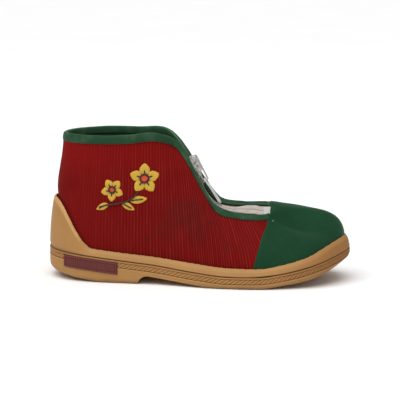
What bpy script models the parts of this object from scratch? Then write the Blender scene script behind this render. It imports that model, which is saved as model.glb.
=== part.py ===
"""Child's zip-front corduroy ankle shoe on a moulded rubber sole: the right shoe, standing empty on its sole.

X runs from the heel to the toe, the outer (lateral) side of the foot faces -Y, and Z is up. Sizes are written in
millimetres in the tables, measured from the back of the heel and from the ground, and turned into metres once.
Every curved piece is cut from one surface, the outside of the upper, so that neighbours keep an even gap.
"""

import math
from collections import namedtuple

import bmesh
import bpy
import numpy as np
from mathutils import Matrix, Vector

MM = 0.001

# Walls and gaps
GAP = 0.3 * MM
WALL = 2.0 * MM
LEVEL_BAND = 0.10
RIM_TURN_RUN = 15.0 * MM

# Sole: how far it stands out past the foot of the upper, and how round its lower edge is
SOLE_LEDGE = 4.0 * MM
SOLE_EDGE = 2.4 * MM
EDGE_INSET_SHARE = 0.3
EDGE_RISE_SHARE = 0.35
HEEL_EDGE = 3.2 * MM
HEEL_EDGE_RUN = 22.0 * MM
TOE_EDGE = 2.6 * MM
TOE_EDGE_START_X = 160.0 * MM
TOE_EDGE_END_X = 192.0 * MM

# Arch cut under the waist of the sole
HEEL_BREAST_X = 62.5 * MM
ARCH_TOP = 5.4 * MM
ARCH_COVE = 6.5 * MM
ARCH_END_X = 112.0 * MM
ARCH_OVERHANG = 60.0 * MM
ARCH_STEPS = 6

# Foxing: thickness at its foot and lip, and the heel counter it rises into
FOXING_FOOT = 3.6 * MM
FOXING_LIP = 1.4 * MM
COUNTER_RISE = 27.5 * MM
COUNTER_BACK_X = 6.0 * MM
COUNTER_FRONT_X = 33.0 * MM

# Insole
INSOLE_THICK = 3.0 * MM
INSOLE_CLEARANCE = 0.5 * MM

# Collar binding
BINDING_WIDTH = 4.2 * MM
BINDING_THICK = 0.75 * MM
BINDING_GAP = 0.45 * MM
BINDING_CROWN = 0.25 * WALL
BINDING_INSIDE = 0.9 * WALL

# Zip
TAPE_THICK = 0.6 * MM
TAPE_UNDER = 4.0 * MM
TAPE_CLEARANCE = 0.5 * MM
TAPE_LIP = 0.4 * MM
TAPE_SPLIT = 0.15 * MM
TAPE_POST_SPLIT = 1.3 * MM
CHAIN_HALF_WIDTH = 2.3 * MM
CHAIN_HEIGHT = 2.0 * MM
CHAIN_LIFT = 0.8 * MM
CHAIN_SINK = 0.9 * MM
CHAIN_FOOT_SHARE = 0.5
PATH_STATIONS = 26

# Slider and its pull
SLIDER_LENGTH = 14.4 * MM
SLIDER_WIDTH = 7.4 * MM
SLIDER_PLATE = 1.1 * MM
SLIDER_SLACK = 0.45 * MM
SLIDER_POST_WIDTH = 1.8 * MM
SLIDER_POST_LENGTH = 3.4 * MM
SLIDER_POST_INSET = 0.6 * MM
SLIDER_EDGE = 0.45 * MM
SLIDER_FLOOR_SHARE = 0.9
FLANGE_DEPTH = 1.3 * MM
FLANGE_WIDTH = 0.8 * MM
FLANGE_SHARE = 0.62
BAIL_LENGTH = 18.6 * MM
BAIL_SHIFT = 2.5 * MM
BAIL_HEIGHT = 3.3 * MM
BAIL_THICK = 0.9 * MM
BAIL_WIDTH = 1.6 * MM
BAIL_CORNER = 1.4 * MM
BAIL_INNER_CORNER = 0.4 * MM
BAIL_SUNK = 0.4 * MM
BAIL_TURN_STEPS = 4
NOSE_WIDTH = 2.4 * MM
NOSE_THICK = 0.8 * MM
NOSE_ROOT = 1.0 * MM
NOSE_TIP = 0.15 * MM
PULL_BAR = 1.0 * MM
PULL_THICK = 1.0 * MM
PULL_EYE = 3.4 * MM
PULL_LENGTH = 18.6 * MM
PULL_NECK_WIDTH = 2.6 * MM
PULL_EYE_WIDTH = 4.6 * MM
PULL_END_WIDTH = 4.8 * MM
PULL_TILT = -6.0
PULL_NECK_RUN = 2.2 * MM
PULL_PAD_RUN = 7.5 * MM
PULL_EYE_CORNER = 0.3 * MM
PULL_END_RUN = 1.6 * MM
PULL_TIP_RUN = 0.4 * MM
PULL_PLAY = 0.45 * MM
PULL_LIFT = 0.55 * MM

# Zip end stop
STOP_LENGTH = 4.4 * MM
STOP_WIDTH = 4.8 * MM
STOP_HEIGHT = 1.6 * MM
STOP_SEAT = 1.0 * MM
STOP_EDGE = 0.35 * MM

# Label on the outer side of the heel
LABEL_BACK_X = 14.0 * MM
LABEL_FRONT_X = 49.5 * MM
LABEL_TOP_DROP = 1.0 * MM
LABEL_HEIGHT = 8.0 * MM
LABEL_THICK = 0.6 * MM
LABEL_STATIONS = 10
LABEL_CHAMFER = 0.2 * MM

# Sampling
COLUMNS_PER_SPAN = 3
UPPER_LEVELS = 12
FOXING_LEVELS = 5
BISECTION_STEPS = 36
NORMAL_STEP = 1e-4

# Sections of the last, heel to toe. base is the foot of the upper, rim the edge of its opening. bank is the roll of
# the throat about its length, lean and crown the slopes at the foot and at the rim in degrees, the pulls how far
# each slope carries, and inner_fall what the inner side adds to its slope at the rim.
Section = namedtuple(
    "Section",
    "name base_x lateral_y medial_y rim_x rim_y rim_z half_gap bank lean base_pull crown rim_pull inner_fall",
    defaults=(0,),
)
SECTIONS = [
    Section("heel_back", 4.3, 0.0, 0.0, 10.6, 0.0, 91.8, 0.0, 0, 3, 30, 84, 26),
    Section("heel_corner", 9.8, -15.0, 15.0, 15.6, 0.0, 91.9, 11.2, 0, 4, 28, 85, 24),
    Section("counter", 19.5, -20.9, 20.5, 23.4, 0.0, 91.8, 15.6, 0, 6, 27, 87, 24),
    Section("heel_side", 32.0, -23.2, 22.5, 35.0, 0.0, 91.4, 18.6, 0, 5, 26, 88, 24),
    Section("ankle", 54.0, -24.5, 22.0, 55.0, 0.0, 91.6, 19.8, 0, 5, 26, 88, 24),
    Section("collar_front", 76.0, -26.0, 21.5, 74.0, 0.0, 92.6, 15.2, 0, 5, 26, 82, 22),
    Section("throat_top", 92.0, -28.5, 24.5, 84.0, 0.0, 87.6, 6.4, 0, 5, 26, 62, 20),
    Section("zip_top", 101.0, -30.0, 27.0, 90.5, -0.4, 79.0, 5.2, 2, 5, 24, 50, 18),
    Section("instep", 110.0, -31.5, 29.5, 98.0, -1.0, 65.5, 5.2, 5, 5, 22, 36, 16),
    Section("knee", 121.0, -32.0, 32.0, 108.0, -2.0, 50.3, 5.2, 16, 5, 18, 22, 16),
    Section("ball", 137.0, -31.5, 33.5, 124.5, -4.0, 45.4, 5.4, 32, 6, 16, 18, 16),
    Section("vamp", 156.0, -27.5, 32.5, 136.5, -5.5, 45.4, 5.4, 37, 6, 16, 20, 18, -1.5),
    Section("toe_side", 174.0, -20.0, 27.5, 143.2, -5.6, 46.0, 5.0, 36, 6, 20, 24, 17, 5.5),
    Section("toe_corner", 184.8, -8.8, 19.6, 146.2, -5.3, 46.8, 3.4, 30, 6, 23, 20, 28, 13.5),
    Section("toe_tip", 190.0, 7.0, 7.0, 147.2, -5.0, 47.0, 0.0, 0, 6, 29.5, 7, 26.5),
]

# Places along the throat, counted in sections
SECTION_ORDER = [section.name for section in SECTIONS]
ZIP_TOP_ROW = SECTION_ORDER.index("throat_top") + 0.8
SLIDER_ROW = SECTION_ORDER.index("zip_top") + 0.55
CHAIN_END_ROW = SECTION_ORDER.index("vamp") + 0.2
STOP_ROW = SECTION_ORDER.index("vamp") + 0.66
ZIP_END_ROW = SECTION_ORDER.index("toe_side") + 0.35
SINK_START_ROW = SECTION_ORDER.index("instep") + 0.05
SINK_END_ROW = SECTION_ORDER.index("instep") + 0.5
LIFT_START_ROW = SECTION_ORDER.index("knee") + 0.6
LIFT_END_ROW = SECTION_ORDER.index("ball") + 0.3
FALL_START_ROW = SECTION_ORDER.index("ball") + 0.7
FALL_END_ROW = SECTION_ORDER.index("vamp") + 0.15

# Side view of the sole: underside, top edge of the outsole, and height of the rand above that edge
SoleStation = namedtuple("SoleStation", "name x tread top rand")
SOLE_PROFILE = [
    SoleStation("heel_back", 0.0, 3.9, 19.4, 5.0),
    SoleStation("heel_corner", 12.0, 3.3, 18.3, 4.9),
    SoleStation("heel_seat", 25.0, 1.6, 17.0, 4.8),
    SoleStation("heel_tread", 40.0, 0.0, 15.5, 4.8),
    SoleStation("heel_front", 50.0, 0.0, 14.5, 4.8),
    SoleStation("shank", 72.0, 0.0, 12.5, 5.0),
    SoleStation("waist", 100.0, 0.0, 9.2, 5.4),
    SoleStation("ball_back", 122.0, 0.0, 7.6, 5.1),
    SoleStation("ball_front", 140.0, 0.0, 7.8, 4.7),
    SoleStation("toe_break", 154.0, 1.9, 9.6, 5.2),
    SoleStation("toe_rise", 168.0, 4.0, 12.5, 6.0),
    SoleStation("toe", 182.0, 7.9, 16.7, 8.4),
    SoleStation("toe_tip", 194.0, 13.8, 20.8, 10.4),
]

RUBBER = ("rubber", (0.47, 0.25, 0.085), 0.55)
LABEL_SKIN = ("label", (0.11, 0.010, 0.013), 0.5)
CORDUROY = ("corduroy", (0.17, 0.006, 0.005), 0.9)
BINDING_CLOTH = ("binding", (0.022, 0.055, 0.026), 0.9)
FOOTBED = ("footbed", (0.06, 0.09, 0.06), 0.9)
ZIP_CLOTH = ("zip_tape", (0.62, 0.60, 0.57), 0.85)
ZIP_NYLON = ("zip_nylon", (0.66, 0.63, 0.61), 0.45)
SLIDER_METAL = ("slider_metal", (0.70, 0.70, 0.71), 0.25)
PULL_ENAMEL = ("pull_enamel", (0.72, 0.71, 0.70), 0.35)


def smoothstep(low, high, value):
    """Ease from 0 at low to 1 at high."""
    share = np.clip((np.asarray(value, dtype=float) - low) / (high - low), 0.0, 1.0)
    return share * share * (3.0 - 2.0 * share)


def hermite(share, width, start, end, start_slope, end_slope):
    """Cubic between two values with given slopes."""
    square = share * share
    cube = square * share
    return (
        (2.0 * cube - 3.0 * square + 1.0) * start
        + (cube - 2.0 * square + share) * width * start_slope
        + (3.0 * square - 2.0 * cube) * end
        + (cube - square) * width * end_slope
    )


def monotone_curve(stations, values, at):
    """Smooth curve through the stations that never overshoots them, so that a flat run stays flat."""
    stations = np.asarray(stations, dtype=float)
    values = np.asarray(values, dtype=float)
    widths = np.diff(stations)
    rises = np.diff(values) / widths
    slopes = np.zeros_like(values)
    slopes[0] = rises[0]
    slopes[-1] = rises[-1]
    for index in range(1, len(values) - 1):
        before = rises[index - 1]
        after = rises[index]
        if before * after > 0.0:
            slopes[index] = 2.0 * before * after / (before + after)
    at = np.clip(np.asarray(at, dtype=float), stations[0], stations[-1])
    span = np.clip(np.searchsorted(stations, at, side="right") - 1, 0, len(widths) - 1)
    share = (at - stations[span]) / widths[span]
    return hermite(share, widths[span], values[span], values[span + 1], slopes[span], slopes[span + 1])


def sole_height(column, at):
    """One column of the sole's side view at the given X."""
    stations = [station.x * MM for station in SOLE_PROFILE]
    values = [getattr(station, column) * MM for station in SOLE_PROFILE]
    return monotone_curve(stations, values, at)


def unit(vectors):
    """Scale vectors to length one along their last axis."""
    return vectors / np.maximum(np.linalg.norm(vectors, axis=-1, keepdims=True), 1e-12)


def rows_around():
    """Sections in the order in which the wall passes them: toe tip, outer side, heel back, inner side."""
    last = len(SECTIONS) - 1
    lateral = [(SECTIONS[index], -1) for index in range(last - 1, 0, -1)]
    medial = [(SECTIONS[index], 1) for index in range(1, last)]
    return [(SECTIONS[last], 0)] + lateral + [(SECTIONS[0], 0)] + medial


def control_net():
    """Four control points of the wall's curve at every row: foot, foot handle, rim handle, rim."""
    base = []
    rim = []
    for section, side in rows_around():
        base_y = section.medial_y if side > 0 else section.lateral_y
        foot_z = float(sole_height("top", section.base_x * MM)) + GAP
        base.append((section.base_x * MM, base_y * MM, foot_z))
        bank = math.radians(section.bank)
        reach = side * section.half_gap
        rim.append((
            section.rim_x * MM,
            (section.rim_y + reach * math.cos(bank)) * MM,
            (section.rim_z + reach * math.sin(bank)) * MM,
        ))
    base = np.array(base)
    rim = np.array(rim)
    along = np.roll(base, -1, axis=0) - np.roll(base, 1, axis=0)
    outward = unit(np.stack([-along[:, 1], along[:, 0], np.zeros(len(base))], axis=1))
    across = (base - rim) * np.array([1.0, 1.0, 0.0])
    reach = np.linalg.norm(across, axis=1, keepdims=True)
    share = np.clip(reach / RIM_TURN_RUN, 0.0, 1.0)
    rim_outward = unit(share * unit(across) + (1.0 - share) * outward)
    up = np.array([0.0, 0.0, 1.0])
    foot_handle = np.empty_like(base)
    rim_handle = np.empty_like(base)
    for index, (section, side) in enumerate(rows_around()):
        lean = math.radians(section.lean)
        foot_slope = outward[index] * math.sin(lean) + up * math.cos(lean)
        foot_handle[index] = base[index] + foot_slope * section.base_pull * MM
        fall = section.inner_fall if side > 0 else 0
        rise = math.radians(section.crown - side * section.bank + fall)
        rim_slope = up * math.sin(rise) - rim_outward[index] * math.cos(rise)
        rim_handle[index] = rim[index] - rim_slope * section.rim_pull * MM
    return np.stack([base, foot_handle, rim_handle, rim])


NET = control_net()
ROW_COUNT = NET.shape[1]
STEPS = np.linalg.norm(np.roll(NET, -1, axis=1) - NET, axis=2).mean(axis=0)
KNOTS = np.concatenate([[0.0], np.cumsum(STEPS)])
RISES = (np.roll(NET, -1, axis=1) - NET) / STEPS[None, :, None]
BEFORE = np.roll(STEPS, 1)
SLOPES = (
    RISES * BEFORE[None, :, None] + np.roll(RISES, 1, axis=1) * STEPS[None, :, None]
) / (STEPS + BEFORE)[None, :, None]


def controls_at(around):
    """Control points of the wall's curve at positions around the shoe."""
    place = np.mod(np.asarray(around, dtype=float), KNOTS[-1])
    span = np.clip(np.searchsorted(KNOTS, place, side="right") - 1, 0, ROW_COUNT - 1)
    following = (span + 1) % ROW_COUNT
    width = STEPS[span]
    share = ((place - KNOTS[span]) / width)[None, :, None]
    return hermite(
        share, width[None, :, None], NET[:, span], NET[:, following], SLOPES[:, span], SLOPES[:, following]
    )


def wall_point(around, level):
    """Outside of the upper at positions around the shoe; level runs from 0 at the foot to 1 at the rim."""
    around = np.atleast_1d(np.asarray(around, dtype=float))
    foot, foot_handle, rim_handle, rim = controls_at(around)
    t = np.broadcast_to(np.asarray(level, dtype=float), around.shape)[:, None]
    rest = 1.0 - t
    return rest**3 * foot + 3.0 * rest**2 * t * foot_handle + 3.0 * rest * t**2 * rim_handle + t**3 * rim


def wall_rise(around, level):
    """Direction in which the wall climbs."""
    level = np.asarray(level, dtype=float)
    above = np.minimum(level + NORMAL_STEP, 1.0)
    below = np.maximum(level - NORMAL_STEP, 0.0)
    return unit(wall_point(around, above) - wall_point(around, below))


def wall_normal(around, level):
    """Outward normal of the wall, laid level near the foot so that the foot stays on the sole."""
    around = np.atleast_1d(np.asarray(around, dtype=float))
    step = NORMAL_STEP * KNOTS[-1]
    along = wall_point(around + step, level) - wall_point(around - step, level)
    normal = unit(np.cross(wall_rise(around, level), along))
    level = np.broadcast_to(np.asarray(level, dtype=float), around.shape)
    normal[:, 2] *= smoothstep(0.0, LEVEL_BAND, level)
    return unit(normal)


def offset_point(around, level, distance):
    """Wall point moved along its normal, outward for a positive distance; at the foot it keeps to the sole's top."""
    around = np.atleast_1d(np.asarray(around, dtype=float))
    distance = np.broadcast_to(np.asarray(distance, dtype=float), around.shape)
    level = np.broadcast_to(np.asarray(level, dtype=float), around.shape)
    start = wall_point(around, level)
    moved = start + wall_normal(around, level) * distance[:, None]
    climb = sole_height("top", moved[:, 0]) - sole_height("top", start[:, 0])
    moved[:, 2] += climb * (1.0 - smoothstep(0.0, LEVEL_BAND, level))
    return moved


def columns_around():
    """Positions of the mesh columns, the same number between every two rows."""
    spans = [np.linspace(KNOTS[i], KNOTS[i + 1], COLUMNS_PER_SPAN, endpoint=False) for i in range(ROW_COUNT)]
    return np.concatenate(spans)


AROUND = columns_around()
HALF_COLUMNS = len(AROUND) // 2


def make_material(finish):
    """Principled material of a finish, made once."""
    name, color, roughness = finish
    material = bpy.data.materials.get(name)
    if material is None:
        material = bpy.data.materials.new(name)
        material.use_nodes = True
        shader = material.node_tree.nodes["Principled BSDF"]
        shader.inputs["Base Color"].default_value = (*color, 1.0)
        shader.inputs["Roughness"].default_value = roughness
    return material


def add_object(name, mesh, finish, collection, root):
    """Link a mesh as a named part under the root."""
    part = bpy.data.objects.new(name, mesh)
    collection.objects.link(part)
    part.parent = root
    mesh.materials.clear()
    mesh.materials.append(make_material(finish))
    return part


def mesh_from_bmesh(name, shape, smooth):
    """Finish a bmesh: close its normals outward and hand it over as a mesh."""
    bmesh.ops.recalc_face_normals(shape, faces=shape.faces)
    mesh = bpy.data.meshes.new(name)
    shape.to_mesh(mesh)
    shape.free()
    if smooth:
        mesh.shade_smooth()
    return mesh


def bridge(shape, first, second):
    """Join two closed loops of vertices with quads."""
    count = len(first)
    for index in range(count):
        following = (index + 1) % count
        shape.faces.new((first[index], first[following], second[following], second[index]))


def ladder_cap(shape, loop):
    """Close a loop with rungs from its one side to the other, so that a long cap follows both edges."""
    count = len(loop)
    half = count // 2
    shape.faces.new((loop[0], loop[1], loop[count - 1]))
    for index in range(1, half - 1):
        shape.faces.new((loop[index], loop[index + 1], loop[count - index - 1], loop[count - index]))
    shape.faces.new((loop[half - 1], loop[half], loop[half + 1]))


def loft(name, loops, wrap, smooth=True):
    """Solid through closed loops: the last joins the first when wrap is set, else both ends are capped."""
    shape = bmesh.new()
    rings = [[shape.verts.new(point) for point in loop] for loop in loops]
    for first, second in zip(rings, rings[1:]):
        bridge(shape, first, second)
    if wrap:
        bridge(shape, rings[-1], rings[0])
    else:
        ladder_cap(shape, rings[0])
        ladder_cap(shape, rings[-1])
    return mesh_from_bmesh(name, shape, smooth)


def mesh_of(thing):
    """Mesh of an object with its modifiers applied."""
    depsgraph = bpy.context.evaluated_depsgraph_get()
    return bpy.data.meshes.new_from_object(thing.evaluated_get(depsgraph))


def weld(mesh, distance=0.00001):
    """Merge doubled points and close the normals of a mesh."""
    shape = bmesh.new()
    shape.from_mesh(mesh)
    bmesh.ops.remove_doubles(shape, verts=shape.verts, dist=distance)
    bmesh.ops.recalc_face_normals(shape, faces=shape.faces)
    shape.to_mesh(mesh)
    shape.free()
    return mesh


def boolean(thing, tool, operation):
    """Add an exact boolean with a tool object."""
    modifier = thing.modifiers.new(operation.lower() + "_" + tool.name, "BOOLEAN")
    modifier.operation = operation
    modifier.object = tool
    modifier.solver = "EXACT"
    return modifier


def flat_outline(name, outlines, half_thickness, collection):
    """Flat piece from closed outlines, holes included: a filled curve with an extrude."""
    curve = bpy.data.curves.new(name, "CURVE")
    curve.dimensions = "2D"
    curve.fill_mode = "BOTH"
    curve.extrude = half_thickness
    for outline in outlines:
        spline = curve.splines.new("POLY")
        spline.points.add(len(outline) - 1)
        for point, (x, y) in zip(spline.points, outline):
            point.co = (x, y, 0.0, 1.0)
        spline.use_cyclic_u = True
    drawing = bpy.data.objects.new(name + "_drawing", curve)
    collection.objects.link(drawing)
    tool = bpy.data.objects.new(name, weld(mesh_of(drawing)))
    bpy.data.objects.remove(drawing, do_unlink=True)
    collection.objects.link(tool)
    return tool


def mark_tool(tool):
    """Keep a cutter or a building piece out of the part."""
    tool.hide_render = True
    tool.display_type = "WIRE"


def add_box(name, size, center, collection):
    """Box of a size about a centre."""
    shape = bmesh.new()
    bmesh.ops.create_cube(shape, size=1.0)
    bmesh.ops.scale(shape, vec=size, verts=shape.verts)
    bmesh.ops.translate(shape, vec=center, verts=shape.verts)
    box = bpy.data.objects.new(name, mesh_from_bmesh(name, shape, False))
    collection.objects.link(box)
    return box


def build_upper(collection, root):
    """Hollow wall from the feather line to the opening, level on the sole."""
    levels = np.linspace(0.0, 1.0, UPPER_LEVELS)
    outside = [wall_point(AROUND, level) for level in levels]
    inside = [offset_point(AROUND, level, -WALL) for level in levels[::-1]]
    return add_object("upper", loft("upper", outside + inside, True), CORDUROY, collection, root)


def level_at_height(around, height):
    """Level at which the wall reaches a height above the ground."""
    low = np.zeros(len(around))
    high = np.full(len(around), 0.9)
    for _ in range(BISECTION_STEPS):
        middle = (low + high) / 2.0
        below = wall_point(around, middle)[:, 2] < height
        low = np.where(below, middle, low)
        high = np.where(below, high, middle)
    return low


def level_below_rim(around, distance):
    """Level that lies a distance down the wall from the rim."""
    low = np.full(len(around), 0.3)
    high = np.ones(len(around))
    for _ in range(BISECTION_STEPS):
        middle = (low + high) / 2.0
        shares = [middle + (1.0 - middle) * step / 12.0 for step in range(13)]
        points = [wall_point(around, share) for share in shares]
        length = sum(np.linalg.norm(b - a, axis=1) for a, b in zip(points, points[1:]))
        beyond = length > distance
        low = np.where(beyond, middle, low)
        high = np.where(beyond, high, middle)
    return low


def foxing_top(around):
    """Height of the foxing's lip: rand, toe bumper and heel counter."""
    foot_x = wall_point(around, 0.0)[:, 0]
    rand = sole_height("top", foot_x) + sole_height("rand", foot_x)
    return rand + COUNTER_RISE * (1.0 - smoothstep(COUNTER_BACK_X, COUNTER_FRONT_X, foot_x))


def build_foxing(collection, root):
    """Rubber rand round the foot of the upper, with the heel counter and the toe bumper."""
    top = level_at_height(AROUND, foxing_top(AROUND))
    shares = np.linspace(0.0, 1.0, FOXING_LEVELS)
    inside = [offset_point(AROUND, top * share, GAP) for share in shares[::-1]]
    outside = []
    for share in shares:
        thick = FOXING_FOOT + (FOXING_LIP - FOXING_FOOT) * share
        outside.append(offset_point(AROUND, top * share, GAP + thick))
    return add_object("foxing", loft("foxing", inside + outside, True), RUBBER, collection, root)


def sole_ring(inset, height):
    """Ring round the sole, inset from its edge, at heights given by a function of X."""
    ring = offset_point(AROUND, 0.0, SOLE_LEDGE - inset)
    ring[:, 2] = height(ring[:, 0])
    return ring


def arch_cutter(collection):
    """Cutter for the arch: the heel breast with its cove and the slope under the waist."""
    arc = []
    for step in range(ARCH_STEPS + 1):
        turn = math.radians(90.0 * step / ARCH_STEPS)
        x = HEEL_BREAST_X + ARCH_COVE * (1.0 - math.cos(turn))
        arc.append((x, ARCH_TOP * math.sin(turn)))
    outline = [(HEEL_BREAST_X, -ARCH_TOP)] + arc + [(ARCH_END_X, 0.0), (ARCH_END_X, -ARCH_TOP)]
    cutter = flat_outline("arch_cutter", [outline], ARCH_OVERHANG, collection)
    cutter.rotation_euler = (math.radians(90.0), 0.0, 0.0)
    mark_tool(cutter)
    return cutter


def build_outsole(collection, tools, root):
    """Moulded sole: flat heel, arch, flat tread at the ball and toe spring."""
    def edge(x):
        heel = HEEL_EDGE * (1.0 - smoothstep(0.0, HEEL_EDGE_RUN, x))
        toe = TOE_EDGE * smoothstep(TOE_EDGE_START_X, TOE_EDGE_END_X, x)
        return SOLE_EDGE + heel + toe

    def tread(x):
        return sole_height("tread", x)

    base_x = offset_point(AROUND, 0.0, SOLE_LEDGE)[:, 0]
    rings = [
        sole_ring(edge(base_x), tread),
        sole_ring(edge(base_x) * EDGE_INSET_SHARE, lambda x: tread(x) + EDGE_RISE_SHARE * edge(x)),
        sole_ring(0.0, lambda x: tread(x) + edge(x)),
        sole_ring(0.0, lambda x: sole_height("top", x)),
    ]
    blank = bpy.data.objects.new("outsole_blank", loft("outsole_blank", rings, False))
    tools.objects.link(blank)
    mark_tool(blank)
    boolean(blank, arch_cutter(tools), "DIFFERENCE")
    return add_object("outsole", weld(mesh_of(blank)), RUBBER, collection, root)


def build_insole(collection, root):
    """Footbed lying on the sole inside the wall."""
    loops = []
    for lift in (0.0, INSOLE_THICK):
        ring = offset_point(AROUND, 0.0, -(WALL + INSOLE_CLEARANCE))
        ring[:, 2] = sole_height("top", ring[:, 0]) + GAP + lift
        loops.append(ring)
    return add_object("insole", loft("insole", loops, False), FOOTBED, collection, root)


def build_binding(collection, root):
    """Rolled edging: a leg on the outside of the wall and a lip turned over the rim."""
    leg = level_below_rim(AROUND, BINDING_WIDTH)
    middle = level_below_rim(AROUND, BINDING_WIDTH * 0.5)
    rise = wall_rise(AROUND, 1.0)
    proud = BINDING_GAP + BINDING_THICK

    def over(reach, depth):
        return offset_point(AROUND, 1.0, depth) + rise * reach

    loops = [
        offset_point(AROUND, leg, BINDING_GAP),
        offset_point(AROUND, leg, proud * 0.8),
        offset_point(AROUND, middle, proud * 1.1),
        over(GAP, proud),
        over(proud, -BINDING_CROWN),
        over(proud, -BINDING_INSIDE),
        over(GAP, -BINDING_INSIDE),
        over(GAP, BINDING_GAP),
        offset_point(AROUND, middle, BINDING_GAP),
    ]
    return add_object("collar_binding", loft("collar_binding", loops, True), BINDING_CLOTH, collection, root)


def row_place(row, side):
    """Position around the shoe of a row number, whole or between two rows."""
    last = len(SECTIONS) - 1
    order = last - row if side < 0 else last + row
    return np.interp(order, np.arange(ROW_COUNT + 1), KNOTS)


ThroatFrame = namedtuple("ThroatFrame", "center along across outward")


def throat_frame(row):
    """Middle of the throat at a row, with its directions toward the toe, the inner side and outward."""
    def middle(at):
        return (wall_point(row_place(at, -1), 1.0)[0] + wall_point(row_place(at, 1), 1.0)[0]) / 2.0

    across = wall_point(row_place(row, 1), 1.0)[0] - wall_point(row_place(row, -1), 1.0)[0]
    across = unit(across)
    along = unit(middle(row + 0.02) - middle(row - 0.02))
    across = unit(across - along * np.dot(across, along))
    return ThroatFrame(middle(row), along, across, np.cross(along, across))


CHAIN_DEPTH = WALL - CHAIN_HEIGHT / 2.0
TAPE_DEPTH = WALL + TAPE_CLEARANCE


def chain_lift(row):
    """How far the closed zip stands out of the throat: sunk along the instep, humped below it."""
    rise = float(smoothstep(LIFT_START_ROW, LIFT_END_ROW, row))
    fall = float(smoothstep(FALL_START_ROW, FALL_END_ROW, row))
    sunk = float(smoothstep(SINK_START_ROW, SINK_END_ROW, row)) * (1.0 - rise)
    return CHAIN_LIFT * rise * (1.0 - fall) - CHAIN_SINK * sunk


def build_tape(side, collection, root):
    """Zip tape: under the wall at its outer edge, flat across the throat, parted round the slider's post."""
    loops = []
    rows = np.linspace(ZIP_TOP_ROW, ZIP_END_ROW, PATH_STATIONS)
    for row in rows:
        frame = throat_frame(row)
        place = np.array([row_place(row, side)])
        deep = level_below_rim(place, TAPE_UNDER)
        parted = 1.0 - smoothstep(SLIDER_ROW - 0.1, SLIDER_ROW + 0.25, row)
        split = TAPE_SPLIT + (TAPE_POST_SPLIT - TAPE_SPLIT) * float(parted)
        inner_edge = frame.center + frame.across * side * split
        lift = chain_lift(row)
        past_lip = wall_rise(place, 1.0)[0] * TAPE_LIP
        top = [
            offset_point(place, deep, -TAPE_DEPTH)[0],
            offset_point(place, 1.0, -TAPE_DEPTH)[0],
            offset_point(place, 1.0, -TAPE_DEPTH)[0] + past_lip,
            inner_edge - frame.outward * (TAPE_DEPTH - lift),
        ]
        bottom = [
            inner_edge - frame.outward * (TAPE_DEPTH - lift + TAPE_THICK),
            offset_point(place, 1.0, -(TAPE_DEPTH + TAPE_THICK))[0] + past_lip,
            offset_point(place, 1.0, -(TAPE_DEPTH + TAPE_THICK))[0],
            offset_point(place, deep, -(TAPE_DEPTH + TAPE_THICK))[0],
        ]
        loops.append(np.array(top + bottom))
    name = "zip_tape_medial" if side > 0 else "zip_tape_lateral"
    return add_object(name, loft(name, loops, False), ZIP_CLOTH, collection, root)


def build_chain(collection, root):
    """Closed coil of the zip from the inside of the slider to the end stop."""
    half = CHAIN_HALF_WIDTH
    foot = half * CHAIN_FOOT_SHARE
    tall = CHAIN_HEIGHT / 2.0 - GAP / 2.0
    profile = [
        (-half, 0.0), (-half * 0.8, tall), (0.0, tall), (half * 0.8, tall),
        (half, 0.0), (foot, -tall), (0.0, -tall), (-foot, -tall),
    ]
    loops = []
    for row in np.linspace(SLIDER_ROW + 0.08, CHAIN_END_ROW, PATH_STATIONS):
        frame = throat_frame(row)
        center = frame.center - frame.outward * (CHAIN_DEPTH - chain_lift(row))
        loops.append(np.array([center + frame.across * v + frame.outward * w for v, w in profile]))
    return add_object("zip_chain", loft("zip_chain", loops, False), ZIP_NYLON, collection, root)


def frame_matrix(frame, depth):
    """Placement of a part on the throat: its X toward the toe, Y to the inner side, Z outward."""
    center = frame.center - frame.outward * depth
    columns = [frame.along, frame.across, frame.outward, center]
    matrix = Matrix.Identity(4)
    for column, vector in enumerate(columns):
        for row in range(3):
            matrix[row][column] = float(vector[row])
    return matrix


def build_end_stop(collection, root):
    """Square end piece over the toe end of the zip."""
    frame = throat_frame(STOP_ROW)
    shape = bmesh.new()
    bmesh.ops.create_cube(shape, size=1.0)
    bmesh.ops.scale(shape, vec=(STOP_LENGTH, STOP_WIDTH, STOP_HEIGHT), verts=shape.verts)
    bmesh.ops.bevel(
        shape, geom=shape.edges[:], offset=STOP_EDGE, segments=2, profile=0.5, affect="EDGES"
    )
    mesh = mesh_from_bmesh("zip_end_stop", shape, False)
    part = add_object("zip_end_stop", mesh, ZIP_NYLON, collection, root)
    depth = TAPE_DEPTH - chain_lift(STOP_ROW) - STOP_SEAT - STOP_HEIGHT / 2.0
    part.matrix_local = frame_matrix(frame, depth)
    return part


def slider_levels():
    """Heights in the slider's own frame, measured from the middle of the chain."""
    roof = CHAIN_HEIGHT / 2.0 + SLIDER_SLACK
    floor = -(TAPE_DEPTH + TAPE_THICK - CHAIN_DEPTH) - SLIDER_SLACK
    return roof, floor


def bail_outlines():
    """Side view of the bail and of its opening, foot on the roof of the slider."""
    half = BAIL_LENGTH / 2.0

    def arch(inset, foot):
        end = half - inset
        top = BAIL_HEIGHT - inset
        round_off = max(BAIL_CORNER - inset, BAIL_INNER_CORNER)
        centre_z = top - round_off
        points = [(-end, foot)]
        for centre_x, first_turn in ((round_off - end, 180.0), (end - round_off, 90.0)):
            for step in range(BAIL_TURN_STEPS + 1):
                turn = math.radians(first_turn - 90.0 * step / BAIL_TURN_STEPS)
                points.append((centre_x + round_off * math.cos(turn), centre_z + round_off * math.sin(turn)))
        points.append((end, foot))
        return points

    return [arch(0.0, -BAIL_SUNK) + arch(BAIL_THICK, -BAIL_SUNK)[::-1]]


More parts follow.
